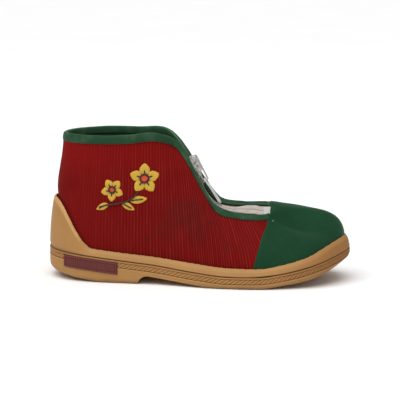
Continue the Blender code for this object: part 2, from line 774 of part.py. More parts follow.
def build_slider(collection, tools, root):
    """Slider: roof and floor plates on a post, flanges at the sides, and the bail on the roof and its nose."""
    roof, floor = slider_levels()
    plate = SLIDER_PLATE
    body = add_box(
        "slider_roof", (SLIDER_LENGTH, SLIDER_WIDTH, plate), (0.0, 0.0, roof + plate / 2.0), tools
    )
    bevel = body.modifiers.new("edge", "BEVEL")
    bevel.width = SLIDER_EDGE
    bevel.segments = 2
    floor_length = SLIDER_LENGTH * SLIDER_FLOOR_SHARE
    floor_width = SLIDER_WIDTH * SLIDER_FLOOR_SHARE
    under = add_box(
        "slider_floor", (floor_length, floor_width, plate), (0.0, 0.0, floor - plate / 2.0), tools
    )
    post_height = roof - floor + plate
    post_x = -SLIDER_LENGTH / 2.0 + SLIDER_POST_LENGTH / 2.0 + SLIDER_POST_INSET
    post_size = (SLIDER_POST_LENGTH, SLIDER_POST_WIDTH, post_height)
    post = add_box("slider_post", post_size, (post_x, 0.0, (roof + floor) / 2.0), tools)
    bail = flat_outline("slider_bail", bail_outlines(), BAIL_WIDTH / 2.0, tools)
    bail.rotation_euler = (math.radians(90.0), 0.0, 0.0)
    bail.location = (BAIL_SHIFT, 0.0, roof + plate)
    nose_end = BAIL_SHIFT + BAIL_LENGTH / 2.0 + NOSE_TIP
    nose_length = nose_end - SLIDER_LENGTH / 2.0 + NOSE_ROOT
    nose_place = (nose_end - nose_length / 2.0, 0.0, roof + plate - NOSE_THICK / 2.0)
    nose = add_box("slider_nose", (nose_length, NOSE_WIDTH, NOSE_THICK), nose_place, tools)
    flange_y = SLIDER_WIDTH / 2.0 - FLANGE_WIDTH / 2.0
    flanges = []
    for side in (-1.0, 1.0):
        flange = add_box(
            "slider_flange", (SLIDER_LENGTH * FLANGE_SHARE, FLANGE_WIDTH, FLANGE_DEPTH + plate * 0.5),
            (0.0, side * flange_y, roof - FLANGE_DEPTH / 2.0 + plate * 0.25), tools,
        )
        flanges.append(flange)
    for tool in [under, post, nose, bail] + flanges:
        boolean(body, tool, "UNION")
        mark_tool(tool)
    mark_tool(body)
    part = add_object("zip_slider", weld(mesh_of(body)), SLIDER_METAL, collection, root)
    part.matrix_local = frame_matrix(throat_frame(SLIDER_ROW), CHAIN_DEPTH)
    return part


def pull_outlines():
    """Plan of the pull from its bar to its end, and of the eye the bail passes through."""
    bar = PULL_BAR / 2.0
    eye_end = bar + PULL_EYE
    neck_x = eye_end + PULL_NECK_RUN
    pad_x = PULL_LENGTH - PULL_PAD_RUN
    half = [
        (-bar, PULL_EYE_WIDTH * 0.42),
        (PULL_EYE_CORNER, PULL_EYE_WIDTH / 2.0),
        (eye_end, PULL_EYE_WIDTH / 2.0),
        (neck_x, PULL_NECK_WIDTH / 2.0),
        (pad_x, PULL_NECK_WIDTH * 0.62),
        (PULL_LENGTH - PULL_END_RUN, PULL_END_WIDTH / 2.0),
        (PULL_LENGTH - PULL_TIP_RUN, PULL_END_WIDTH * 0.40),
        (PULL_LENGTH, PULL_END_WIDTH * 0.22),
    ]
    outer = half + [(x, -y) for x, y in reversed(half)]
    eye_half = BAIL_WIDTH / 2.0 + PULL_PLAY
    eye = [(bar, eye_half), (eye_end, eye_half), (eye_end, -eye_half), (bar, -eye_half)]
    return [outer, eye]


def build_pull(collection, tools, slider):
    """Pull hung in the lower end of the bail; its origin lies on the axis of its bar."""
    blank = flat_outline("pull_blank", pull_outlines(), PULL_THICK / 2.0, tools)
    mark_tool(blank)
    mesh = mesh_of(blank)
    part = bpy.data.objects.new("zip_pull_tab", mesh)
    collection.objects.link(part)
    mesh.materials.clear()
    mesh.materials.append(make_material(PULL_ENAMEL))
    part.parent = slider
    roof, _ = slider_levels()
    pivot_x = BAIL_SHIFT + BAIL_LENGTH / 2.0 - BAIL_THICK - PULL_BAR / 2.0 - PULL_PLAY
    pivot_z = roof + SLIDER_PLATE + PULL_THICK / 2.0 + PULL_LIFT
    part.location = (pivot_x, 0.0, pivot_z)
    part.rotation_euler = (0.0, math.radians(PULL_TILT), 0.0)
    return part


def build_label(collection, root):
    """Plate on the outer side of the heel, under the top edge of the outsole."""
    lateral = AROUND[: HALF_COLUMNS + 1]
    edge_x = offset_point(lateral, 0.0, SOLE_LEDGE)[:, 0]
    stations = np.linspace(LABEL_BACK_X, LABEL_FRONT_X, LABEL_STATIONS)
    places = np.interp(stations, edge_x[::-1], lateral[::-1])
    near = offset_point(places, 0.0, SOLE_LEDGE + GAP)
    far = offset_point(places, 0.0, SOLE_LEDGE + GAP + LABEL_THICK)
    top = sole_height("top", near[:, 0]) - LABEL_TOP_DROP
    loops = []
    for index in range(LABEL_STATIONS):
        high = top[index]
        low = high - LABEL_HEIGHT
        loops.append(np.array([
            (near[index, 0], near[index, 1], low),
            (far[index, 0], far[index, 1], low + LABEL_CHAMFER),
            (far[index, 0], far[index, 1], high - LABEL_CHAMFER),
            (near[index, 0], near[index, 1], high),
        ]))
    return add_object("heel_label", loft("heel_label", loops, False), LABEL_SKIN, collection, root)


def centre_root(root, parts):
    """Move the root so that the origin lies under the middle of the shoe, on the ground."""
    bpy.context.view_layer.update()
    points = np.array([
        tuple(part.matrix_world @ vertex.co) for part in parts for vertex in part.data.vertices
    ])
    low = points.min(axis=0)
    high = points.max(axis=0)
    root.location = Vector((-(low[0] + high[0]) / 2.0, -(low[1] + high[1]) / 2.0, -low[2]))


def main():
    """Build the shoe from an empty scene."""
    for thing in list(bpy.data.objects):
        bpy.data.objects.remove(thing, do_unlink=True)
    collection = bpy.data.collections.new("ankle_shoe")
    tools = bpy.data.collections.new("cutters")
    bpy.context.scene.collection.children.link(collection)
    bpy.context.scene.collection.children.link(tools)
    root = bpy.data.objects.new("ankle_shoe_root", None)
    collection.objects.link(root)
    parts = [
        build_upper(collection, root),
        build_foxing(collection, root),
        build_outsole(collection, tools, root),
        build_insole(collection, root),
        build_label(collection, root),
        build_binding(collection, root),
        build_tape(-1, collection, root),
        build_tape(1, collection, root),
        build_chain(collection, root),
        build_end_stop(collection, root),
    ]
    slider = build_slider(collection, tools, root)
    parts.append(slider)
    parts.append(build_pull(collection, tools, slider))
    centre_root(root, parts)


main()
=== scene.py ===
"""Looks of a child's zip-front ankle shoe: ribbed cloth quarters, felt toe, rolled binding, zip and gum sole.

Sizes are millimetres on the shoe's last: X from the back of the heel, Y from the middle toward the inner side
of the foot, Z from the ground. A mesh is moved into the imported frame, in metres, when it is written.
"""

import logging
import math
from contextlib import contextmanager
from dataclasses import dataclass, field
from enum import Enum, IntEnum
from typing import Any, Callable, Iterator, NamedTuple, Sequence

import bpy
import numpy as np
from mathutils import Matrix, Vector


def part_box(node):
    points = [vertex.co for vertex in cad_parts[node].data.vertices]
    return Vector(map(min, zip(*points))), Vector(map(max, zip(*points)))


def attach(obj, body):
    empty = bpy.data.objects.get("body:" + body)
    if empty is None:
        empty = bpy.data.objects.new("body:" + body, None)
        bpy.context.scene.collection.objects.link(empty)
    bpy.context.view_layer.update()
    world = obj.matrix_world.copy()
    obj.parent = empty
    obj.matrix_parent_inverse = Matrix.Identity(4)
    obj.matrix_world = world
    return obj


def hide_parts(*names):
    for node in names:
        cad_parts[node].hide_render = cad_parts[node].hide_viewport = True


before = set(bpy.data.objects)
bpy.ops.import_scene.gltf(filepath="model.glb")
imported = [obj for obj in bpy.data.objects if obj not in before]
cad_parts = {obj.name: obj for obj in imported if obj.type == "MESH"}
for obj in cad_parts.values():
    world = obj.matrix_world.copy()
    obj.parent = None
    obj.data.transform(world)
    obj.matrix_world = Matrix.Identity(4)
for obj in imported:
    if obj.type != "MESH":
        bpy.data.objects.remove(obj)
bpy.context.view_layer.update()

Array = np.ndarray
Triple = tuple[float, float, float]
Color = Triple
Piece = bpy.types.Object
Socket = bpy.types.NodeSocket
Material = bpy.types.Material
LOG = logging.getLogger("ankle_shoe")
MM = 0.001
FULL_TURN = 2.0 * math.pi
QUARTER_TURN = math.pi / 2.0
TINY = 1e-12
MERGE_DISTANCE = 1e-6
FACING = 0.9
SHARP_EDGE = 0.6
HARD_SMOOTH_ANGLE = 35.0


class Side(IntEnum):
    """Side of the foot, as the sign of its Y."""

    LATERAL = -1
    MEDIAL = 1


class Body(Enum):
    """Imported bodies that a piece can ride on."""

    SHOE = "shoe"
    PULL = "pull_tab"


class Section(NamedTuple):
    """Section of the last: foot and rim in millimetres, slopes in degrees, and how far each slope carries."""

    name: str
    base_x: float
    lateral_y: float
    medial_y: float
    rim_x: float
    rim_y: float
    rim_z: float
    half_gap: float
    bank: float
    lean: float
    base_pull: float
    crown: float
    rim_pull: float
    inner_fall: float = 0.0


class SoleStation(NamedTuple):
    """Station of the sole's side view: underside, top edge and height of the rand above that edge."""

    name: str
    x: float
    tread: float
    top: float
    rand: float


SECTIONS = [
    Section("heel_back", 4.3, 0.0, 0.0, 10.6, 0.0, 91.8, 0.0, 0, 3, 30, 84, 26),
    Section("heel_corner", 9.8, -15.0, 15.0, 15.6, 0.0, 91.9, 11.2, 0, 4, 28, 85, 24),
    Section("counter", 19.5, -20.9, 20.5, 23.4, 0.0, 91.8, 15.6, 0, 6, 27, 87, 24),
    Section("heel_side", 32.0, -23.2, 22.5, 35.0, 0.0, 91.4, 18.6, 0, 5, 26, 88, 24),
    Section("ankle", 54.0, -24.5, 22.0, 55.0, 0.0, 91.6, 19.8, 0, 5, 26, 88, 24),
    Section("collar_front", 76.0, -26.0, 21.5, 74.0, 0.0, 92.6, 15.2, 0, 5, 26, 82, 22),
    Section("throat_top", 92.0, -28.5, 24.5, 84.0, 0.0, 87.6, 6.4, 0, 5, 26, 62, 20),
    Section("zip_top", 101.0, -30.0, 27.0, 90.5, -0.4, 79.0, 5.2, 2, 5, 24, 50, 18),
    Section("instep", 110.0, -31.5, 29.5, 98.0, -1.0, 65.5, 5.2, 5, 5, 22, 36, 16),
    Section("knee", 121.0, -32.0, 32.0, 108.0, -2.0, 50.3, 5.2, 16, 5, 18, 22, 16),
    Section("ball", 137.0, -31.5, 33.5, 124.5, -4.0, 45.4, 5.4, 32, 6, 16, 18, 16),
    Section("vamp", 156.0, -27.5, 32.5, 136.5, -5.5, 45.4, 5.4, 37, 6, 16, 20, 18, -1.5),
    Section("toe_side", 174.0, -20.0, 27.5, 143.2, -5.6, 46.0, 5.0, 36, 6, 20, 24, 17, 5.5),
    Section("toe_corner", 184.8, -8.8, 19.6, 146.2, -5.3, 46.8, 3.4, 30, 6, 23, 20, 28, 13.5),
    Section("toe_tip", 190.0, 7.0, 7.0, 147.2, -5.0, 47.0, 0.0, 0, 6, 29.5, 7, 26.5),
]

SOLE_PROFILE = [
    SoleStation("heel_back", 0.0, 3.9, 19.4, 5.0),
    SoleStation("heel_corner", 12.0, 3.3, 18.3, 4.9),
    SoleStation("heel_seat", 25.0, 1.6, 17.0, 4.8),
    SoleStation("heel_tread", 40.0, 0.0, 15.5, 4.8),
    SoleStation("heel_front", 50.0, 0.0, 14.5, 4.8),
    SoleStation("shank", 72.0, 0.0, 12.5, 5.0),
    SoleStation("waist", 100.0, 0.0, 9.2, 5.4),
    SoleStation("ball_back", 122.0, 0.0, 7.6, 5.1),
    SoleStation("ball_front", 140.0, 0.0, 7.8, 4.7),
    SoleStation("toe_break", 154.0, 1.9, 9.6, 5.2),
    SoleStation("toe_rise", 168.0, 4.0, 12.5, 6.0),
    SoleStation("toe", 182.0, 7.9, 16.7, 8.4),
    SoleStation("toe_tip", 194.0, 13.8, 20.8, 10.4),
]


def srgb(red: int, green: int, blue: int) -> Color:
    """Linear colour of an 8-bit screen colour."""
    shares = [channel / 255.0 for channel in (red, green, blue)]
    return tuple(s / 12.92 if s <= 0.04045 else ((s + 0.055) / 1.055) ** 2.4 for s in shares)


def smoothstep(low: float, high: float, value: Any) -> Array:
    """Ease from 0 at low to 1 at high."""
    share = np.clip((np.asarray(value, dtype=float) - low) / (high - low), 0.0, 1.0)
    return share * share * (3.0 - 2.0 * share)


def round_off(depth: Any, radius: Any) -> Array:
    """Fall of a quarter round from its flat, at a depth in from the edge."""
    share = 1.0 - np.clip(np.asarray(depth, dtype=float) / radius, 0.0, 1.0)
    return radius * (1.0 - np.sqrt(1.0 - share * share))


class Wave(NamedTuple):
    """Part of a ripple: its share, its rate and how far the seed moves it."""

    share: float
    rate: float
    drift: float


WAVES = [Wave(0.5, 1.0, 1.0), Wave(0.3, 2.3, 1.7), Wave(0.2, 4.1, 2.9)]


class Ripple(NamedTuple):
    """Slow uneven wave, in millimetres, for cloth and rubber that is never quite even."""

    height: float
    length: float
    seed: float

    def at(self, place: Any) -> Array:
        """How far the wave stands up at some places."""
        turn = np.asarray(place, dtype=float) * (FULL_TURN / self.length)
        parts = (wave.share * np.sin(wave.rate * turn + wave.drift * self.seed) for wave in WAVES)
        return self.height * sum(parts)


def ridge(phase: Any, power: float) -> Array:
    """Row of rounded ridges, one to each whole phase: 0 in a valley and 1 on a crest."""
    return 1.0 - np.abs(2.0 * np.mod(phase, 1.0) - 1.0) ** power


def squared_off(wave: Array, power: float) -> Array:
    """Wave between -1 and 1 with fuller shoulders, for a power under 1."""
    return np.sign(wave) * np.abs(wave) ** power


def run_along(path: Array) -> Array:
    """Length run at each point of a path."""
    steps = np.linalg.norm(np.diff(path, axis=0), axis=1)
    return np.concatenate([[0.0], np.cumsum(steps)])


def unit(vectors: Array) -> Array:
    """Scale vectors to length one along their last axis."""
    return vectors / np.maximum(np.linalg.norm(vectors, axis=-1, keepdims=True), TINY)


def hermite(
    share: Array, width: Array, start: Array, end: Array, start_slope: Array, end_slope: Array
) -> Array:
    """Cubic between two values with given slopes.

    Args:
        share: Place between the two, from 0 to 1.
        width: Distance between the two.
        start: Value at the start.
        end: Value at the end.
        start_slope: Slope at the start.
        end_slope: Slope at the end.
    Returns:
        The values at the places.
    """
    square = share * share
    cube = square * share
    return (
        (2.0 * cube - 3.0 * square + 1.0) * start
        + (cube - 2.0 * square + share) * width * start_slope
        + (3.0 * square - 2.0 * cube) * end
        + (cube - square) * width * end_slope
    )


def monotone_curve(stations: Sequence[float], values: Sequence[float], at: Any) -> Array:
    """Smooth curve through stations that never overshoots them, so that a flat run stays flat.

    Args:
        stations: Rising places.
        values: Values at the stations.
        at: Places to read.
    Returns:
        The values at the places.
    """
    stations = np.asarray(stations, dtype=float)
    values = np.asarray(values, dtype=float)
    widths = np.diff(stations)
    rises = np.diff(values) / widths
    slopes = np.zeros_like(values)
    slopes[0] = rises[0]
    slopes[-1] = rises[-1]
    for index in range(1, len(values) - 1):
        before = rises[index - 1]
        after = rises[index]
        if before * after > 0.0:
            slopes[index] = 2.0 * before * after / (before + after)
    at = np.clip(np.asarray(at, dtype=float), stations[0], stations[-1])
    span = np.clip(np.searchsorted(stations, at, side="right") - 1, 0, len(widths) - 1)
    share = (at - stations[span]) / widths[span]
    return hermite(share, widths[span], values[span], values[span + 1], slopes[span], slopes[span + 1])


def sole_height(column: str, at: Any) -> Array:
    """One column of the sole's side view at the given X."""
    return monotone_curve([s.x for s in SOLE_PROFILE], [getattr(s, column) for s in SOLE_PROFILE], at)


class Throat(NamedTuple):
    """Middle of the throat at some rows, with directions toward the toe, the inner side and outward."""

    center: Array
    along: Array
    across: Array
    outward: Array

    def point(self, sideways: Any, out: Any) -> Array:
        """Points at distances toward the inner side and outward."""
        sideways = np.asarray(sideways, dtype=float)[..., None]
        out = np.asarray(out, dtype=float)[..., None]
        return self.center + self.across * sideways + self.outward * out


@dataclass
class Last:
    """Outside of the upper, from which every curved piece takes its place, in millimetres."""

    gap: float = 0.3
    wall: float = 2.0
    ledge: float = 4.0
    level_band: float = 0.10
    counter_rise: float = 27.5
    counter_back_x: float = 6.0
    counter_front_x: float = 33.0
    blend_reach: float = 15.0
    normal_step: float = 1e-4
    row_step: float = 0.02
    side_row: float = 4.5
    locate_rounds: int = 8
    bisections: int = 30
    low_level: float = 0.3
    top_level: float = 0.97
    solid_columns: int = 3
    net: Array = field(init=False)
    steps: Array = field(init=False)
    knots: Array = field(init=False)
    slopes: Array = field(init=False)
    shift: Array = field(init=False)

    def __post_init__(self) -> None:
        """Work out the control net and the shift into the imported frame."""
        self.net = self._control_net()
        ahead = np.roll(self.net, -1, axis=1) - self.net
        self.steps = np.linalg.norm(ahead, axis=2).mean(axis=0)
        self.knots = np.concatenate([[0.0], np.cumsum(self.steps)])
        before = np.roll(self.steps, 1)[None, :, None]
        after = self.steps[None, :, None]
        rises = ahead / after
        self.slopes = (rises * before + np.roll(rises, 1, axis=1) * after) / (before + after)
        edge = self.offset(self.columns([self.solid_columns] * len(self.steps)), 0.0, self.ledge)
        self.shift = np.array(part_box("outsole")[0]) / MM - edge.min(axis=0)
        self.shift[2] = 0.0

    @staticmethod
    def _rows() -> list[tuple[Section, int]]:
        """Sections in the order in which the wall passes them: toe tip, outer side, heel back, inner side."""
        inner = range(1, len(SECTIONS) - 1)
        lateral = [(SECTIONS[index], -1) for index in reversed(inner)]
        medial = [(SECTIONS[index], 1) for index in inner]
        return [(SECTIONS[-1], 0)] + lateral + [(SECTIONS[0], 0)] + medial

    def _control_net(self) -> Array:
        """Four control points of the wall's curve at every row: foot, foot handle, rim handle, rim."""
        rows = self._rows()
        base = []
        rim = []
        for section, side in rows:
            base_y = section.medial_y if side > 0 else section.lateral_y
            base.append((section.base_x, base_y, float(sole_height("top", section.base_x)) + self.gap))
            bank = math.radians(section.bank)
            reach = side * section.half_gap
            rim_y = section.rim_y + reach * math.cos(bank)
            rim.append((section.rim_x, rim_y, section.rim_z + reach * math.sin(bank)))
        base = np.array(base)
        rim = np.array(rim)
        along = np.roll(base, -1, axis=0) - np.roll(base, 1, axis=0)
        outward = unit(np.stack([-along[:, 1], along[:, 0], np.zeros(len(base))], axis=1))
        across = (base - rim) * np.array([1.0, 1.0, 0.0])
        share = np.clip(np.linalg.norm(across, axis=1, keepdims=True) / self.blend_reach, 0.0, 1.0)
        rim_outward = unit(share * unit(across) + (1.0 - share) * outward)
        up = np.array([0.0, 0.0, 1.0])
        foot_handle = np.empty_like(base)
        rim_handle = np.empty_like(base)
        for index, (section, side) in enumerate(rows):
            lean = math.radians(section.lean)
            foot_slope = outward[index] * math.sin(lean) + up * math.cos(lean)
            foot_handle[index] = base[index] + foot_slope * section.base_pull
            fall = section.inner_fall if side > 0 else 0.0
            rise = math.radians(section.crown - side * section.bank + fall)
            rim_slope = up * math.sin(rise) - rim_outward[index] * math.cos(rise)
            rim_handle[index] = rim[index] - rim_slope * section.rim_pull
        return np.stack([base, foot_handle, rim_handle, rim])

    def columns(self, counts: Sequence[int]) -> Array:
        """Places round the shoe, evenly spaced between every two rows, ending where they began."""
        rows = zip(self.knots, self.knots[1:], counts)
        spans = [np.linspace(low, high, count, endpoint=False) for low, high, count in rows]
        return np.concatenate(spans + [self.knots[-1:]])

    def paired_columns(self, spacing: float) -> Array:
        """Places round the shoe about a spacing apart, as many on the outer side as on the inner one."""
        mean = (self.steps + self.steps[::-1]) / 2.0
        return self.columns([max(2, round(width / spacing)) for width in mean])

    def row(self, row: Any, side: Side) -> Array:
        """Place round the shoe of a row number, whole or between two rows."""
        order = len(SECTIONS) - 1 + int(side) * np.asarray(row, dtype=float)
        return np.interp(order, np.arange(len(self.knots)), self.knots)

    def row_of(self, around: Any) -> Array:
        """Row number, whole or between two rows, of places round the shoe."""
        order = np.interp(around, self.knots, np.arange(len(self.knots)))
        return np.abs(order - (len(SECTIONS) - 1))

    def wall_at(self, around: Any, level: Any) -> Array:
        """Outside of the upper.

        Args:
            around: Places round the shoe.
            level: Share of the way up the wall, 0 at the foot and 1 at the rim.
        Returns:
            Points, with one more axis than the places.
        """
        around, level = np.broadcast_arrays(np.asarray(around, dtype=float), np.asarray(level, dtype=float))
        place = np.mod(around, self.knots[-1])
        span = np.clip(np.searchsorted(self.knots, place, side="right") - 1, 0, len(self.steps) - 1)
        following = (span + 1) % len(self.steps)
        width = self.steps[span][..., None]
        share = (place - self.knots[span])[..., None] / width
        foot, foot_handle, rim_handle, rim = (
            hermite(share, width, self.net[k][span], self.net[k][following], self.slopes[k][span],
                    self.slopes[k][following])
            for k in range(4)
        )
        t = level[..., None]
        rest = 1.0 - t
        return rest**3 * foot + 3.0 * rest**2 * t * foot_handle + 3.0 * rest * t**2 * rim_handle + t**3 * rim

    def rise(self, around: Any, level: Any) -> Array:
        """Direction in which the wall climbs."""
        level = np.asarray(level, dtype=float)
        above = np.minimum(level + self.normal_step, 1.0)
        below = np.maximum(level - self.normal_step, 0.0)
        return unit(self.wall_at(around, above) - self.wall_at(around, below))

    def normal(self, around: Any, level: Any) -> Array:
        """Outward normal of the wall, laid level near the foot."""
        around, level = np.broadcast_arrays(np.asarray(around, dtype=float), np.asarray(level, dtype=float))
        step = self.normal_step * self.knots[-1]
        along = self.wall_at(around + step, level) - self.wall_at(around - step, level)
        normal = unit(np.cross(self.rise(around, level), along))
        normal[..., 2] *= smoothstep(0.0, self.level_band, level)
        return unit(normal)

    def offset(self, around: Any, level: Any, distance: Any) -> Array:
        """Wall points moved outward; at the foot they keep to the sole's top."""
        start = self.wall_at(around, level)
        moved = start + self.normal(around, level) * np.asarray(distance, dtype=float)[..., None]
        climb = sole_height("top", moved[..., 0]) - sole_height("top", start[..., 0])
        moved[..., 2] += climb * (1.0 - smoothstep(0.0, self.level_band, level))
        return moved

    def over_rim(self, around: Array, down: Any, out: Any) -> Array:
        """Points a distance down the wall from the rim, or above it where negative, and a distance out."""
        down = np.broadcast_to(np.asarray(down, dtype=float), around.shape)
        level = self.level_below_rim(around, np.maximum(down, 0.0))
        return self.offset(around, level, out) + self.rise(around, 1.0) * np.maximum(-down, 0.0)[..., None]

    def _bisect(self, around: Array, low: float, high: float, short: Callable[[Array], Array]) -> Array:
        """Level, between two limits, up to which a test holds."""
        floor = np.full(around.shape, low)
        ceiling = np.full(around.shape, high)
        for _ in range(self.bisections):
            middle = (floor + ceiling) / 2.0
            below = short(middle)
            floor = np.where(below, middle, floor)
            ceiling = np.where(below, ceiling, middle)
        return floor

    def level_at_height(self, around: Array, height: Any) -> Array:
        """Level at which the wall reaches a height above the ground."""

        def short(level: Array) -> Array:
            return self.wall_at(around, level)[..., 2] < height

        return self._bisect(around, 0.0, self.top_level, short)

    def level_below_rim(self, around: Array, distance: Any) -> Array:
        """Level that lies a distance down the wall from the rim."""
        rim = self.wall_at(around, 1.0)

        def beyond(level: Array) -> Array:
            middle = self.wall_at(around, (level + 1.0) / 2.0)
            length = np.linalg.norm(rim - middle, axis=-1)
            length += np.linalg.norm(middle - self.wall_at(around, level), axis=-1)
            return length > distance

        return self._bisect(around, self.low_level, 1.0, beyond)

    def foxing_top(self, around: Array) -> Array:
        """Height of the foxing's lip: rand, toe bumper and heel counter."""
        foot_x = self.wall_at(around, 0.0)[..., 0]
        rand = sole_height("top", foot_x) + sole_height("rand", foot_x)
        counter = 1.0 - smoothstep(self.counter_back_x, self.counter_front_x, foot_x)
        return rand + self.counter_rise * counter

    def throat(self, rows: Any) -> Throat:
        """Middle and directions of the throat at some rows."""
        rows = np.atleast_1d(np.asarray(rows, dtype=float))

        def edge(at: Array, side: Side) -> Array:
            return self.wall_at(self.row(at, side), 1.0)

        def middle(at: Array) -> Array:
            return (edge(at, Side.LATERAL) + edge(at, Side.MEDIAL)) / 2.0

        across = unit(edge(rows, Side.MEDIAL) - edge(rows, Side.LATERAL))
        along = unit(middle(rows + self.row_step) - middle(rows - self.row_step))
        across = unit(across - along * np.sum(across * along, axis=-1, keepdims=True))
        return Throat(middle(rows), along, across, np.cross(along, across))

    def locate(self, x: Array, z: Array) -> tuple[Array, Array]:
        """Places and levels on the outer side at which the wall has the given X and Z."""
        around = np.full(x.shape, float(self.row(self.side_row, Side.LATERAL)))
        for _ in range(self.locate_rounds):
            level = self.level_at_height(around, z)
            around = around + self.wall_at(around, level)[..., 0] - x
        return around, self.level_at_height(around, z)

    def to_frame(self, points: Array) -> Array:
        """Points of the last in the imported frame, in metres."""
        return (points + self.shift) * MM


class Grain(NamedTuple):
    """Noise: its scale, and how many finer layers it has."""

    scale: float
    detail: float


class Show(NamedTuple):
    """How a mark shows: from nothing at low to its whole share at high."""

    low: float
    high: float
    share: float


class Spread(NamedTuple):
    """Least value, and what a mark adds to it."""

    least: float
    gain: float


class Relief(NamedTuple):
    """Fine relief: how strongly it shows, and its height in metres."""

    strength: float
    height: float


class Value:
    """Number that varies over a surface. Arithmetic on it adds Math nodes."""

    def __init__(self, shader: "Shader", socket: Socket) -> None:
        """Wrap a socket of a shader."""
        self.shader = shader
        self.socket = socket

    def math(self, operation: str, *operands: Any) -> "Value":
        """Math node on the operands."""
        return self.shader.value("ShaderNodeMath", {"operation": operation}, dict(enumerate(operands)))

    def __add__(self, other: Any) -> "Value":
        """Sum."""
        return self.math("ADD", self, other)

    __radd__ = __add__

    def __sub__(self, other: Any) -> "Value":
        """Difference."""
        return self.math("SUBTRACT", self, other)

    def __rsub__(self, other: Any) -> "Value":
        """Difference from a number."""
        return self.math("SUBTRACT", other, self)

    def __mul__(self, other: Any) -> "Value":
        """Product."""
        return self.math("MULTIPLY", self, other)

    def __abs__(self) -> "Value":
        """Size without its sign."""
        return self.math("ABSOLUTE", self)

    def fraction(self) -> "Value":
        """Part after the point."""
        return self.math("FRACT", self)

    def sine(self) -> "Value":
        """Sine of an angle in radians."""
        return self.math("SINE", self)

    def ease(self, low: float, high: float) -> "Value":
        """Smooth step from 0 at low to 1 at high."""
        return self.shader.value(
            "ShaderNodeMapRange", {"interpolation_type": "SMOOTHSTEP"},
            {"Value": self, "From Min": low, "From Max": high},
        )

    def show(self, how: Show) -> "Value":
        """Share of a mark that shows."""
        return self.ease(how.low, how.high) * how.share

    def spread(self, over: Spread) -> "Value":
        """Least value with this one's gain on it."""
        return self * over.gain + over.least


class Shader:
    """Node material under construction."""

    def __init__(self, name: str) -> None:
        """Start an empty node material."""
        self.material = bpy.data.materials.new(name)
        self.material.use_nodes = True
        self.tree = self.material.node_tree
        self.tree.nodes.clear()

    def node(self, kind: str, settings: dict[str, Any], sockets: dict[Any, Any]) -> bpy.types.Node:
        """Add a node.

        Args:
            kind: Blender's type of the node.
            settings: Properties, set first.
            sockets: Values or links by the inputs' names or numbers.
        Returns:
            The node.
        """
        node = self.tree.nodes.new(kind)
        for key, value in settings.items():
            setattr(node, key, value)
        for key, value in sockets.items():
            if isinstance(value, Value):
                value = value.socket
            if isinstance(value, Socket):
                self.tree.links.new(value, node.inputs[key])
            else:
                node.inputs[key].default_value = value
        return node

    def value(self, kind: str, settings: dict[str, Any], sockets: dict[Any, Any]) -> Value:
        """First output of a new node, as a number."""
        return Value(self, self.node(kind, settings, sockets).outputs[0])

    def place(self) -> Socket:
        """Object coordinates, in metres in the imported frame."""
        return self.node("ShaderNodeTexCoord", {}, {}).outputs["Object"]

    def weave(self) -> Socket:
        """The piece's own pattern coordinates."""
        return self.node("ShaderNodeTexCoord", {}, {}).outputs["UV"]

    def split(self, vector: Socket) -> list[Value]:
        """The three parts of a vector; the third is empty in pattern coordinates."""
        return [Value(self, part) for part in self.node("ShaderNodeSeparateXYZ", {}, {0: vector}).outputs]

    def noise(self, vector: Socket, grain: Grain) -> Value:
        """Noise from 0 to 1."""
        sockets = {"Vector": vector, "Scale": grain.scale, "Detail": grain.detail}
        return self.value("ShaderNodeTexNoise", {}, sockets)

    def stretched(self, vector: Socket, scale: Triple) -> Socket:
        """Coordinates scaled by axis."""
        return self.node("ShaderNodeMapping", {}, {"Vector": vector, "Scale": scale}).outputs[0]

    def spot(self, whole: Socket, center: Triple, radii: Triple, core: float = 0.25) -> Value:
        """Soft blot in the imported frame.

        Args:
            whole: Object coordinates.
            center: Middle of the blot in metres.
            radii: Distances by axis past which it is gone, in metres.
            core: Share of the radii within which it is full.
        Returns:
            1 in the middle, falling to 0 at the radii.
        """
        scale = tuple(1.0 / radius for radius in radii)
        moved = self.node("ShaderNodeVectorMath", {"operation": "SUBTRACT"}, {0: whole, 1: center})
        scaled = self.node("ShaderNodeVectorMath", {"operation": "MULTIPLY"}, {0: moved.outputs[0], 1: scale})
        length = self.node("ShaderNodeVectorMath", {"operation": "LENGTH"}, {0: scaled.outputs[0]})
        return 1.0 - Value(self, length.outputs["Value"]).ease(core, 1.0)

    def mix(self, factor: Any, first: Any, second: Any) -> Socket:
        """Colour between two colours."""
        first, second = (c if isinstance(c, Socket) else (*c, 1.0) for c in (first, second))
        node = self.node("ShaderNodeMix", {"data_type": "RGBA"}, {0: factor, 6: first, 7: second})
        return node.outputs[2]

    def bump(self, height: Value, relief: Relief) -> Socket:
        """Normal from a height."""
        sockets = {"Height": height, "Strength": relief.strength, "Distance": relief.height}
        return self.node("ShaderNodeBump", {}, sockets).outputs[0]

    def finish(self, color: Socket, rough: Value, normal: Socket | None, fixed: dict[str, Any]) -> Material:
        """Close the material with a Principled shader.

        Args:
            color: Base colour.
            rough: Roughness.
            normal: Normal with the fine relief, if there is any.
            fixed: Inputs that are the same all over.
        Returns:
            The material.
        """
        sockets = {**fixed, "Base Color": color, "Roughness": rough}
        if normal:
            sockets["Normal"] = normal
        shader = self.node("ShaderNodeBsdfPrincipled", {}, sockets)
        self.node("ShaderNodeOutputMaterial", {}, {0: shader.outputs[0]})
        return self.material


@dataclass(frozen=True)
class Finish:
    """Finish of a piece: its slot name and its main colour."""

    name: str
    slot: str
    color: Color

    def paint(self, shader: Shader) -> Material:
        """Lay the finish; each finish does so in its own way."""
        raise NotImplementedError

    def material(self) -> Material:
        """The finish's material, made once."""
        return bpy.data.materials.get(self.name) or self.paint(Shader(self.name))


@dataclass(frozen=True)
class Stain:
    """Blot on the outer side, placed on the last in millimetres."""

    x: float
    z: float
    wide: float
    tall: float
    strength: float


